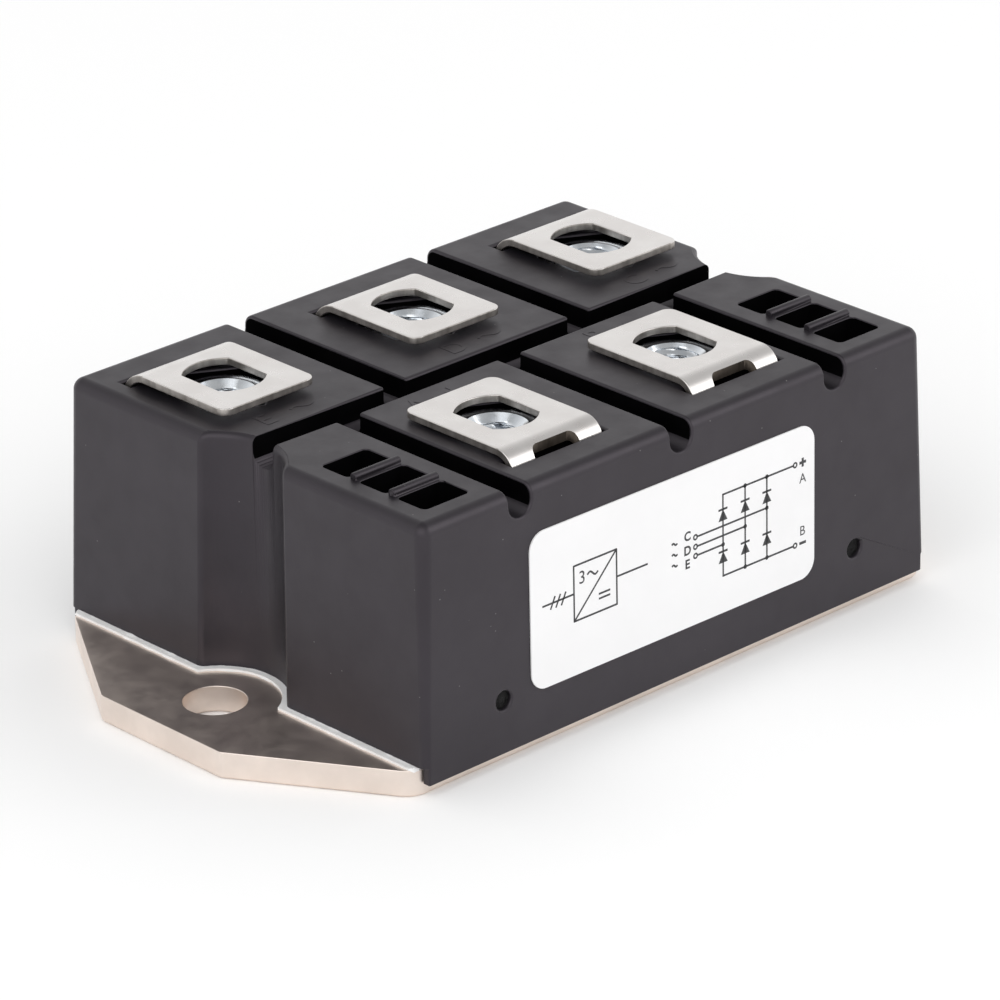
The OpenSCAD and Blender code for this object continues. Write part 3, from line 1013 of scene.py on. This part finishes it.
@dataclass
class Nuts:
    """Five captive nuts with real threads, set out by one node tree."""

    screws: Iterable[Vector]
    across_flats: float = 10 * MM
    thread_radius: float = 2.5 * MM
    thread_depth: float = 0.5 * MM
    thread_pitch: float = 1.0 * MM
    sink_radius: float = 3.4 * MM
    chamfer: float = 0.45 * MM
    face_inset: float = 0.6 * MM
    crest_flat: float = 0.12
    steps: int = 60
    layers_per_turn: int = 8
    most_sixths: int = 5
    seed: int = 3

    def hexagon(self, turn: float) -> float:
        """The reach to the flats in one direction."""
        away = turn - round(turn / SIXTH_TURN) * SIXTH_TURN
        return self.across_flats / 2 / math.cos(away)

    def bore(self, turn: float, z: float, height: float) -> float:
        """The reach to the thread, or to the countersinks at both ends of it.

        Args:
            turn: The direction.
            z: The height of the place.
            height: Height of the nut.

        Returns:
            The bore's radius there.
        """
        phase = (z / self.thread_pitch - turn / (2 * math.pi)) % 1.0
        rise = 1 - abs(2 * phase - 1)
        crest = min(1.0, max(0.0, (rise - self.crest_flat) / (1 - 2 * self.crest_flat)))
        sink = self.sink_radius - self.thread_radius
        cone = max(sink - z, sink - (height - z), 0.0)
        return self.thread_radius + max(self.thread_depth * crest, cone)

    def nut(self, height: float) -> bpy.types.Mesh:
        """One nut about its axis, standing on z = 0.

        Args:
            height: Height of the nut.

        Returns:
            Its mesh.
        """
        turns = [2 * math.pi * step / self.steps for step in range(self.steps)]
        layers = int(self.layers_per_turn * height / self.thread_pitch)
        rows = []
        for layer in range(layers + 1):
            z = height * layer / layers
            rows.append((z, [self.bore(turn, z, height) for turn in turns]))
        face = self.across_flats / 2 - self.face_inset
        rim = [face] * self.steps
        flats = [self.hexagon(turn) for turn in turns]
        slope = [min(flat, face + self.chamfer) for flat in flats]
        skirt = [(0.0, rim), (self.chamfer / 2, slope), (self.chamfer, flats)]
        rows += [(height - z, reaches) for z, reaches in skirt] + skirt[::-1]
        bm = bmesh.new()
        rings = []
        for z, reaches in rows:
            places = [(r * math.cos(t), r * math.sin(t), z) for r, t in zip(reaches, turns)]
            rings.append([bm.verts.new(place) for place in places])
        loft(bm, rings, closed=True)
        return smooth_mesh(bm, "nut", SHARP_ANGLE)

    def tree(self) -> bpy.types.NodeTree:
        """A tree that puts one shape on every point, turned by whole sixths of a turn.

        Returns:
            The tree.
        """
        sketch = TreeSketch("nuts_on_screws")
        shape = sketch.input("Shape", "NodeSocketObject")
        finish = sketch.input("Finish", "NodeSocketMaterial")
        source = add_node(sketch.group, "GeometryNodeObjectInfo", {"Object": shape}, "Geometry")
        limits = {WHOLE_LEAST: 0, WHOLE_MOST: self.most_sixths, "Seed": self.seed}
        sixth = add_node(
            sketch.group, "FunctionNodeRandomValue", limits, WHOLE_VALUE, data_type="INT"
        )
        facing = sketch.node("ShaderNodeCombineXYZ", Z=sketch.times(sixth, SIXTH_TURN))
        placed = sketch.node(
            "GeometryNodeInstanceOnPoints", Points=sketch.geometry, Instance=source, Rotation=facing
        )
        return sketch.finish(placed, finish)

    def build(self) -> None:
        """Add the nuts."""
        low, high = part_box("terminal_nuts")
        source = scene_object("nut_source", self.nut(high.z - low.z))
        points = [(place.x, place.y, low.z) for place in self.screws]
        values = {"Shape": source, "Finish": ZINC.material()}
        mesh = grown_mesh("captive_nuts", points, self.tree(), values)
        bpy.data.objects.remove(source)
        add_piece("captive_nuts", mesh, replaces=["terminal_nuts"])


@dataclass
class SealBead:
    """The white silicone that is squeezed out along the foot of both ends."""

    hole_x: float
    body_x: float
    plate_z: float
    front_y: float
    back_y: float
    notch_radius: float
    back_stop: float = 0.5 * MM
    height: float = 0.26 * MM
    reach: float = 0.68 * MM
    lump: float = 2.2 * MM
    octaves: tuple[float, float, int] = (0.9, 2.1, 3)
    height_change: float = 0.4
    reach_change: float = 0.26
    spacing: float = 0.25 * MM
    height_seed: float = 1.7
    reach_seed: float = 8.3
    tuck: float = 0.1 * MM
    slump: float = 1.25
    crease: float = math.radians(60)
    corner_steps: int = 6
    profile_steps: int = 6

    def straight(self, wall: Vector, out: Vector, start: float, end: float) -> Route:
        """Steps along a wall.

        Args:
            wall: The wall's foot at Y = 0.
            out: The way out of the wall.
            start: Where the steps start along Y.
            end: Where they end.

        Returns:
            Points and outward directions.
        """
        count = max(2, int(abs(end - start) / self.spacing))
        places = [start + (end - start) * step / count for step in range(count + 1)]
        return [(wall + Vector((0, y, 0)), out) for y in places]

    def corner(self, place: Vector, first: Vector, second: Vector) -> Route:
        """Steps on one spot, from one way out to another."""
        shares = [step / self.corner_steps for step in range(1, self.corner_steps)]
        return [(place, (first * (1 - share) + second * share).normalized()) for share in shares]

    def route(self, end: int) -> Route:
        """The foot of one end wall from front to back, with the way out of the wall.

        Args:
            end: -1 for the left end, 1 for the right end.

        Returns:
            Points and outward directions.
        """
        wall = Vector((end * self.body_x, 0, self.plate_z))
        hole = Vector((end * self.hole_x, 0, self.plate_z))
        inset = self.hole_x - self.body_x
        chord = math.sqrt(self.notch_radius**2 - inset**2)
        spread = math.atan2(chord, inset)
        out = Vector((end, 0, 0))
        count = int(2 * spread * self.notch_radius / self.spacing)
        arc = []
        for step in range(count + 1):
            turn = -spread + 2 * spread * step / count
            spoke = Vector((-end * math.cos(turn), math.sin(turn), 0))
            arc.append((hole + spoke * self.notch_radius, -spoke))
        (front, front_out), (back, back_out) = arc[0], arc[-1]
        return [
            *self.straight(wall, out, -self.front_y, -chord),
            *self.corner(front, out, front_out),
            *arc,
            *self.corner(back, back_out, out),
            *self.straight(wall, out, chord, self.back_y - self.back_stop),
        ]

    def swell(self, place: Vector, seed: float, change: float) -> float:
        """How many times fuller the bead is at a place, with a seed for each measure."""
        lumps = noise.fractal(place / self.lump + Vector((seed, seed, seed)), *self.octaves)
        return 1 + change * lumps

    def build(self) -> None:
        """Add the bead of both ends."""
        bm = bmesh.new()
        for end in ENDS:
            sections = []
            for place, out in self.route(end):
                height = self.height * self.swell(place, self.height_seed, self.height_change)
                reach = self.reach * self.swell(place, self.reach_seed, self.reach_change)
                inner = place - out * self.tuck
                section = [inner, inner + Vector((0, 0, height))]
                for step in range(self.profile_steps + 1):
                    turn = math.pi / 2 * step / self.profile_steps
                    away = reach * math.sin(turn) ** self.slump
                    rise = height * math.cos(turn) ** self.slump
                    section.append(place + out * away + Vector((0, 0, rise)))
                sections.append([bm.verts.new(point) for point in section])
            loft(bm, sections)
        bmesh.ops.remove_doubles(bm, verts=bm.verts, dist=MERGE)
        mesh = smooth_mesh(bm, "seal_bead", self.crease)
        add_piece("seal_bead", mesh, [SILICONE.material()])


@dataclass
class Drawing:
    """Flat signs of one thickness on a plane, drawn in millimetres."""

    thickness: float
    steps: int = 28
    merge_share: float = 0.001
    bm: bmesh.types.BMesh = field(default_factory=bmesh.new)

    def prism(self, outline: Sequence[Point]) -> None:
        """Draw one filled outline.

        Args:
            outline: Its corners, anticlockwise.
        """
        lower, upper = (
            [self.bm.verts.new((x, y, z)) for x, y in outline] for z in (0, self.thickness)
        )
        self.bm.faces.new(upper)
        self.bm.faces.new(lower[::-1])
        bridge(self.bm, lower, upper)

    def stroke(self, start: Point, end: Point, width: float) -> None:
        """Draw a straight line.

        Args:
            start: One end.
            end: The other end.
            width: The line's width.
        """
        first, last = Vector(start), Vector(end)
        along = (last - first).normalized()
        side = Vector((-along.y, along.x)) * width / 2
        corners = (first - side, last - side, last + side, first + side)
        self.prism([tuple(corner) for corner in corners])

    def ribbon(self, points: Sequence[Point], width: float, closed: bool = False) -> None:
        """Draw a line with even joints through points.

        Args:
            points: The points.
            width: The line's width.
            closed: Whether the last point joins the first.
        """
        places = [Vector(point) for point in points]
        last = len(places) - 1
        rings = []
        for step, place in enumerate(places):
            before = places[step - 1] if closed or step > 0 else place
            after = places[(step + 1) % len(places)] if closed or step < last else place
            along = (after - before).normalized()
            side = Vector((-along.y, along.x)) * width / 2
            right, left = place - side, place + side
            high = self.thickness
            section = ((right, 0), (left, 0), (left, high), (right, high))
            rings.append([self.bm.verts.new((spot.x, spot.y, z)) for spot, z in section])
        loft(self.bm, rings, closed)

    def round(self, middle: Point, radius: float) -> list[Point]:
        """Points around a circle, anticlockwise."""
        turns = [2 * math.pi * step / self.steps for step in range(self.steps)]
        return [(middle[0] + radius * math.cos(t), middle[1] + radius * math.sin(t)) for t in turns]

    def disc(self, middle: Point, radius: float) -> None:
        """Draw a dot."""
        self.prism(self.round(middle, radius))

    def circle(self, middle: Point, radius: float, width: float) -> None:
        """Draw a ring with a line of a width."""
        self.ribbon(self.round(middle, radius), width, closed=True)

    def wave(self, middle: Point, length: float, height: float, width: float) -> None:
        """Draw the sign for alternating current.

        Args:
            middle: Its middle.
            length: Its length.
            height: Its height above and below the middle.
            width: The line's width.
        """
        x, y = middle
        shares = [step / self.steps for step in range(self.steps + 1)]
        line = [(x + length * (s - 0.5), y + height * math.sin(2 * math.pi * s)) for s in shares]
        self.ribbon(line, width)

    def plus(self, middle: Point, size: float, width: float) -> None:
        """Draw a plus sign.

        Args:
            middle: Its middle.
            size: Length of its arms from end to end.
            width: The line's width.
        """
        half, thin = size / 2, width / 2
        arm = [(half, -thin), (half, thin), (thin, thin)]
        corners = []
        for _ in range(4):
            corners += arm
            arm = [(-y, x) for x, y in arm]
        self.prism([(middle[0] + x, middle[1] + y) for x, y in corners])

    def minus(self, middle: Point, size: float, width: float) -> None:
        """Draw a minus sign of a size."""
        self.stroke((middle[0] - size / 2, middle[1]), (middle[0] + size / 2, middle[1]), width)

    def letter(self, text: str, middle: Point, height: float, bold: float = 0.0) -> None:
        """Draw a plain capital letter or numeral.

        Args:
            text: What to draw.
            middle: Its middle.
            height: Its height.
            bold: How much its lines are thickened on each side.
        """
        curve = bpy.data.curves.new("letter", "FONT")
        curve.body = text
        curve.size = height
        curve.offset = bold
        curve.extrude = self.thickness / 2
        mesh = applied(scene_object("letter", curve), "letter")
        spans = [[vert.co[axis] for vert in mesh.vertices] for axis in (0, 1)]
        (left, right), (foot, head) = [(min(span), max(span)) for span in spans]
        grown = height / (head - foot)
        centred = (-(left + right) / 2, -(foot + head) / 2, self.thickness / 2)
        mesh.transform(Matrix.Translation(centred))
        mesh.transform(Matrix.Translation((*middle, 0)) @ Matrix.Diagonal((grown, grown, 1, 1)))
        self.bm.from_mesh(mesh)
        bpy.data.meshes.remove(mesh)
        bpy.data.curves.remove(curve)

    def mesh(self, name: str, place: Matrix) -> bpy.types.Mesh:
        """End the drawing and put it in place.

        Args:
            name: The mesh's name.
            place: The plane's frame, in metres.

        Returns:
            The mesh.
        """
        distance = self.thickness * self.merge_share
        bmesh.ops.remove_doubles(self.bm, verts=self.bm.verts, dist=distance)
        bmesh.ops.recalc_face_normals(self.bm, faces=self.bm.faces)
        mesh = plain_mesh(self.bm, name)
        mesh.transform(place @ Matrix.Scale(MM, 4))
        return mesh


@dataclass
class TopSigns:
    """Low moulded letters and signs on the housing's top, drawn in millimetres."""

    screws: dict[str, Vector]
    top: float
    rise: float = 0.04
    inset: float = 8.95
    spread: float = 2.45
    height: float = 2.5
    line: float = 0.3
    wave_length: float = 3.0
    wave_height: float = 0.32
    sign_size: float = 2.0
    bold: float = 0.02

    def build(self) -> None:
        """Add all signs as one piece."""
        drawing = Drawing(self.rise)
        for name, letter in zip(SCREWS, TERMINAL_LETTERS):
            screw = self.screws[name] / MM
            y = screw.y - math.copysign(self.inset, screw.y)
            place = (screw.x + self.spread, y)
            drawing.letter(letter, (screw.x - self.spread, y), self.height, self.bold)
            if name == "screw_plus":
                drawing.plus(place, self.sign_size, self.line)
            elif name == "screw_minus":
                drawing.minus(place, self.sign_size, self.line)
            else:
                drawing.wave(place, self.wave_length, self.wave_height, self.line)
        mesh = drawing.mesh("top_signs", Matrix.Translation((0, 0, self.top)))
        add_piece("top_signs", mesh, [PLASTIC.material()])


@dataclass
class Label:
    """The white label with its printed circuit, drawn in millimetres from its middle."""

    node: bpy.types.Object
    columns: Triple = (6.88, 10.12, 13.32)
    top_rail: float = 4.57
    bottom_rail: float = -4.43
    rail_end: float = 17.52
    sign_x: float = 18.65
    upper_letter: float = 2.83
    lower_letter: float = -3.05
    upper_row: float = 2.12
    lower_row: float = -2.54
    input_end: float = 2.87
    inputs: Triple = (-0.95, 0.05, 1.11)
    letter_x: float = 1.73
    letter_rows: Triple = (-1.5, 0.0, 1.56)
    wave_x: float = -0.14
    wave_rows: Triple = (-1.12, 0.07, 1.26)
    wave_size: Point = (0.8, 0.12)
    line: float = 0.21
    dot: float = 0.25
    ring: float = 0.25
    ring_line: float = 0.19
    sign_size: float = 0.98
    sign_line: float = 0.31
    letter_height: float = 1.03
    bold: float = 0.03
    ink: float = 0.012
    diode_width: float = 1.3
    diode_height: float = 1.25
    diode_bar: float = 0.23
    block_x: float = -11.4
    block_y: float = 0.35
    block_size: float = 6.0
    lead: float = 4.4
    tick: float = 1.3
    tick_pitch: float = 0.75
    block_text: float = 1.39
    block_row: float = 1.5
    number_x: float = -1.86
    block_wave_x: float = -0.36
    block_wave: Point = (1.5, 0.24)
    bars: Point = (1.26, -1.35)
    bar_length: float = 1.6
    bar_gap: float = 0.26

    def frame(self) -> Matrix:
        """Measure the label's own frame.

        Returns:
            The frame: X along the label, Y up it and Z out of it, at its middle.
        """
        bm = merged_copy(self.node)
        bm.normal_update()
        face = max(bm.faces, key=lambda item: item.calc_area() if item.normal.y < 0 else 0)
        longest = max(face.edges, key=lambda edge: edge.calc_length())
        out = face.normal.copy()
        along = (longest.verts[1].co - longest.verts[0].co).normalized()
        if along.x < 0:
            along.negate()
        up = out.cross(along)
        middle = out * out.dot(face.verts[0].co)
        for axis in (along, up):
            values = [axis.dot(vert.co) for vert in face.verts]
            middle += axis * (min(values) + max(values)) / 2
        bm.free()
        return axes_at(along, up, out, middle)

    def draw_rails(self, drawing: Drawing) -> None:
        """Print both output rails with their rings, signs and letters.

        Args:
            drawing: The print.
        """
        start = self.columns[0] - self.line / 2
        upper = (self.top_rail, "A", self.upper_letter)
        lower = (self.bottom_rail, "B", self.lower_letter)
        for rail, letter, letter_y in (upper, lower):
            drawing.stroke((start, rail), (self.rail_end - self.ring, rail), self.line)
            drawing.circle((self.rail_end, rail), self.ring, self.ring_line)
            for column in self.columns[1:]:
                drawing.disc((column, rail), self.dot)
            drawing.letter(letter, (self.sign_x, letter_y), self.letter_height)
        drawing.plus((self.sign_x, self.top_rail), self.sign_size, self.sign_line)
        drawing.minus((self.sign_x, self.bottom_rail), self.sign_size, self.sign_line)

    def draw_inputs(self, drawing: Drawing) -> None:
        """Print the three inputs with their columns, rings, letters and waves.

        Args:
            drawing: The print.
        """
        rows = zip(self.columns, self.inputs, self.letter_rows, self.wave_rows, TERMINAL_LETTERS)
        for column, height, letter_y, wave_y, letter in rows:
            drawing.stroke((column, self.bottom_rail), (column, self.top_rail), self.line)
            drawing.stroke((self.input_end + self.ring, height), (column, height), self.line)
            drawing.circle((self.input_end, height), self.ring, self.ring_line)
            drawing.disc((column, height), self.dot)
            drawing.letter(letter, (self.letter_x, letter_y), self.letter_height, self.bold)
            drawing.wave((self.wave_x, wave_y), *self.wave_size, self.line)

    def draw_block(self, drawing: Drawing) -> None:
        """Print the block sign of a three-phase rectifier, with its leads.

        Args:
            drawing: The print.
        """
        half = self.block_size / 2
        x, y = self.block_x, self.block_y
        left, right, foot, head = x - half, x + half, y - half, y + half
        corners = [(left, foot), (right, foot), (right, head), (left, head)]
        for first, second in zip(corners, corners[1:] + corners[:1]):
            drawing.stroke(first, second, self.line)
            drawing.disc(first, self.line / 2)
        drawing.stroke(corners[0], corners[2], self.line)
        for side in ENDS:
            drawing.stroke((x + side * half, y), (x + side * (half + self.lead), y), self.line)
            bar = (x + self.bars[0], y + self.bars[1] + side * self.bar_gap)
            drawing.minus(bar, self.bar_length, self.line)
        middle = left - self.lead / 2
        for place in (-1, 0, 1):
            at = middle + place * self.tick_pitch
            low_end = (at - self.tick / 4, y - self.tick / 2)
            drawing.stroke(low_end, (at + self.tick / 4, y + self.tick / 2), self.line)
        drawing.letter("3", (x + self.number_x, y + self.block_row), self.block_text)
        drawing.wave((x + self.block_wave_x, y + self.block_row), *self.block_wave, self.line)

    def diode_tree(self) -> bpy.types.NodeTree:
        """A tree that prints one diode sign on every point.

        Returns:
            The tree.
        """
        sketch = TreeSketch("diode_signs")
        names = ("Width", "Height", "Bar", "Ink")
        wide, high, bar, ink = (sketch.input(name, "NodeSocketFloat") for name in names)
        finish = sketch.input("Finish", "NodeSocketMaterial")
        size = {"Vertices": 3, "Radius Top": 1.0, "Radius Bottom": 1.0, "Depth": 1.0}
        triangle = add_node(sketch.group, "GeometryNodeMeshCone", size)
        upright = (0, 0, math.pi / 2)
        triangle = sketch.node("GeometryNodeTransform", Geometry=triangle, Rotation=upright)
        # A triangle of radius 1 is sqrt(3) wide and 3 / 2 high, with its tip 1 above its middle.
        rise = sketch.times(high, 2 / 3)
        flat = sketch.times(wide, 1 / math.sqrt(3))
        scale = sketch.node("ShaderNodeCombineXYZ", X=flat, Y=rise, Z=ink)
        triangle = sketch.node("GeometryNodeTransform", Geometry=triangle, Scale=scale)
        block = sketch.node("ShaderNodeCombineXYZ", X=wide, Y=bar, Z=ink)
        strip = sketch.node("GeometryNodeMeshCube", Size=block)
        lift = sketch.node("ShaderNodeCombineXYZ", Y=rise, Z=sketch.times(ink, 0.5))
        strip = sketch.node("GeometryNodeTransform", Geometry=strip, Translation=lift)
        joined = sketch.node("GeometryNodeJoinGeometry")
        for part in (triangle, strip):
            sketch.group.links.new(part, joined.node.inputs[0])
        placed = sketch.node(
            "GeometryNodeInstanceOnPoints", Points=sketch.geometry, Instance=joined
        )
        return sketch.finish(placed, finish)

    def build(self) -> None:
        """Dress the label and add its print."""
        dress(self.node, FILM.material())
        place = self.frame()
        ink = INK.material()
        drawing = Drawing(self.ink)
        self.draw_rails(drawing)
        self.draw_inputs(drawing)
        self.draw_block(drawing)
        add_piece("label_circuit", drawing.mesh("label_circuit", place), [ink])
        rows = (self.upper_row, self.lower_row)
        points = [(x * MM, y * MM, 0) for y in rows for x in self.columns]
        values = {
            "Width": self.diode_width * MM, "Height": self.diode_height * MM,
            "Bar": self.diode_bar * MM, "Ink": self.ink * MM, "Finish": ink,
        }
        signs = grown_mesh("label_diodes", points, self.diode_tree(), values)
        signs.transform(place)
        add_piece("label_diodes", signs)


@dataclass(frozen=True)
class Softbox:
    """A square soft light that looks at the object."""

    name: str
    place: Triple
    size: float
    power: float


@dataclass
class Studio:
    """White floor, even light and the camera of the picture."""

    aim: Vector = field(default_factory=lambda: Vector((0, 0, 12.34 * MM)))
    azimuth: float = -43.685
    elevation: float = 24.282
    roll: float = -0.602
    distance: float = 0.6204
    lens: float = 214.08
    sensor: float = 36.0
    near: float = 0.01
    ambient: float = 0.8
    zenith: float = 0.4
    horizon_end: float = 0.35
    zenith_start: float = 0.95
    floor_size: float = 6.0
    floor_colour: float = 0.8
    floor_seen: float = 1.0
    floor_rough: float = 0.9
    softboxes: tuple[Softbox, ...] = (
        Softbox("key_light", (-0.9, -0.5, 0.8), 1.4, 6.0),
        Softbox("fill_light", (0.7, -1.0, 0.7), 0.9, 3.5),
    )

    def camera(self) -> None:
        """Add the camera at the picture's angle."""
        turn, rise, lean = (math.radians(a) for a in (self.azimuth, self.elevation, self.roll))
        level = Vector((math.cos(turn), math.sin(turn), 0))
        flat = math.cos(rise)
        back = Vector((math.sin(turn) * flat, -math.cos(turn) * flat, math.sin(rise)))
        steep = back.cross(level)
        right = level * math.cos(lean) + steep * math.sin(lean)
        up = steep * math.cos(lean) - level * math.sin(lean)
        data = bpy.data.cameras.new("camera")
        data.lens = self.lens
        data.sensor_width = self.sensor
        data.clip_start = self.near
        camera = scene_object("camera", data)
        camera.matrix_world = axes_at(right, up, back, self.aim + back * self.distance)
        bpy.context.scene.camera = camera

    def seen(self, tree: bpy.types.NodeTree) -> Socket:
        """Tell rays that show the background from those that only light.

        Args:
            tree: The floor's or the world's node tree.

        Returns:
            A socket that is 1 for rays that show it.
        """
        path = add_node(tree, "ShaderNodeLightPath").node.outputs
        value = path["Is Camera Ray"]
        for kind in ("Is Glossy Ray", "Is Transmission Ray"):
            value = add_node(tree, "ShaderNodeMath", {0: value, 1: path[kind]}, operation="MAXIMUM")
        return value

    def world(self) -> None:
        """Set a white surround, which is darker overhead where it is mirrored."""
        world = bpy.data.worlds.new("surround")
        world.use_nodes = True
        tree = world.node_tree
        way = add_node(tree, "ShaderNodeTexCoord", output="Generated")
        height = add_node(tree, "ShaderNodeSeparateXYZ", {0: way}, "Z")
        band = (self.horizon_end, self.zenith_start)
        sky = ramp(tree, height, band, (1.0, self.zenith), interpolation_type="SMOOTHSTEP")
        direct = add_node(tree, "ShaderNodeLightPath", output="Is Camera Ray")
        shown = ramp(tree, direct, (0, 1), (sky, 1.0))
        strength = ramp(tree, self.seen(tree), (0, 1), (self.ambient, shown))
        background = tree.nodes["Background"].inputs
        feed(tree, background["Color"], (1, 1, 1))
        feed(tree, background["Strength"], strength)
        bpy.context.scene.world = world

    def floor(self) -> None:
        """Lay the white floor that keeps the object's shadow."""
        half = self.floor_size / 2
        mesh = bpy.data.meshes.new("floor")
        corners = [(-half, -half, 0), (half, -half, 0), (half, half, 0), (-half, half, 0)]
        mesh.from_pydata(corners, [], [(0, 1, 2, 3)])
        shader = Shader("floor_white")
        tones = (self.floor_colour, self.floor_seen)
        white = ramp(shader.tree, self.seen(shader.tree), (0, 1), tones)
        shader.set(Base_Color=white, Roughness=self.floor_rough, Specular_IOR_Level=0.0)
        mesh.materials.append(shader.material)
        scene_object("floor", mesh)

    def lights(self) -> None:
        """Hang the softboxes."""
        for box in self.softboxes:
            data = bpy.data.lights.new(box.name, "AREA")
            data.shape = "SQUARE"
            data.size = box.size
            data.energy = box.power
            light = scene_object(box.name, data)
            light.location = box.place
            way = self.aim - Vector(box.place)
            light.rotation_euler = way.to_track_quat("-Z", "Y").to_euler()

    def build(self) -> None:
        """Set up the whole studio."""
        self.camera()
        self.world()
        self.floor()
        self.lights()
        bpy.context.scene.view_settings.view_transform = "Standard"


@dataclass
class Inside:
    """The sealed electrical pieces, which keep their solids and get their finishes."""

    nodes: dict[str, bpy.types.Object]

    def coat(self, finish: Finish, names: Iterable[str]) -> None:
        """Give nodes one finish.

        Args:
            finish: The finish.
            names: The nodes' names.
        """
        material = finish.material()
        for name in names:
            dress(self.nodes[name], material)
            LOG.info("%s: %s", name, finish.name)

    def build(self) -> None:
        """Dress every inner node."""
        tracks = [f"track_in_{side}" for side in SIDES] + ["track_plus", "track_minus"]
        self.coat(COPPER, tracks + ["substrate_back"])
        self.coat(ALUMINA, ["substrate_ceramic"])
        for finish, piece in ((SILICON, "diode"), (TINNED, "link")):
            names = [f"{row}_{piece}_{side}" for row in ("upper", "lower") for side in SIDES]
            self.coat(finish, names)
        self.coat(GEL, ["gel"])
        self.coat(SILICONE, ["seal"])


def main() -> None:
    """Dress the whole module."""
    logging.basicConfig(level=logging.INFO, format="%(message)s")
    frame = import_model()
    nodes = frame["nodes"]
    mounts = {mount["name"]: mount for mount in frame["record"]["mounts"]}
    hole_x = mounts["mounting_holes"]["dims"]["spacing_x_mm"] / 2 * MM
    screws = {name: Vector(mounts[name]["pos_m"]) for name in SCREWS}

    Studio().build()
    housing = Housing(nodes["housing"], hole_x)
    housing.build()
    housing.gate_scars()
    TopSigns(screws, housing.top).build()
    BasePlate(nodes["base_plate"]).build()
    metals = [finish.material() for finish in (TERMINAL_PLATING, TERMINAL_EDGE, WINDOW_SHADE_EDGE)]
    for side in SIDES:
        Terminal(nodes[f"terminal_in_{side}"], Row.INPUT).build(metals)
    for sign in ("plus", "minus"):
        Terminal(nodes[f"terminal_{sign}"], Row.OUTPUT).build(metals)
    Nuts(screws.values()).build()
    plate_low, plate_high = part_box("base_plate")
    ends_y = (-plate_low.y, plate_high.y)
    SealBead(hole_x, housing.high.x, plate_high.z, *ends_y, housing.notch_radius).build()
    Label(nodes["label"]).build()
    Inside(nodes).build()


if __name__ == "__main__":
    main()
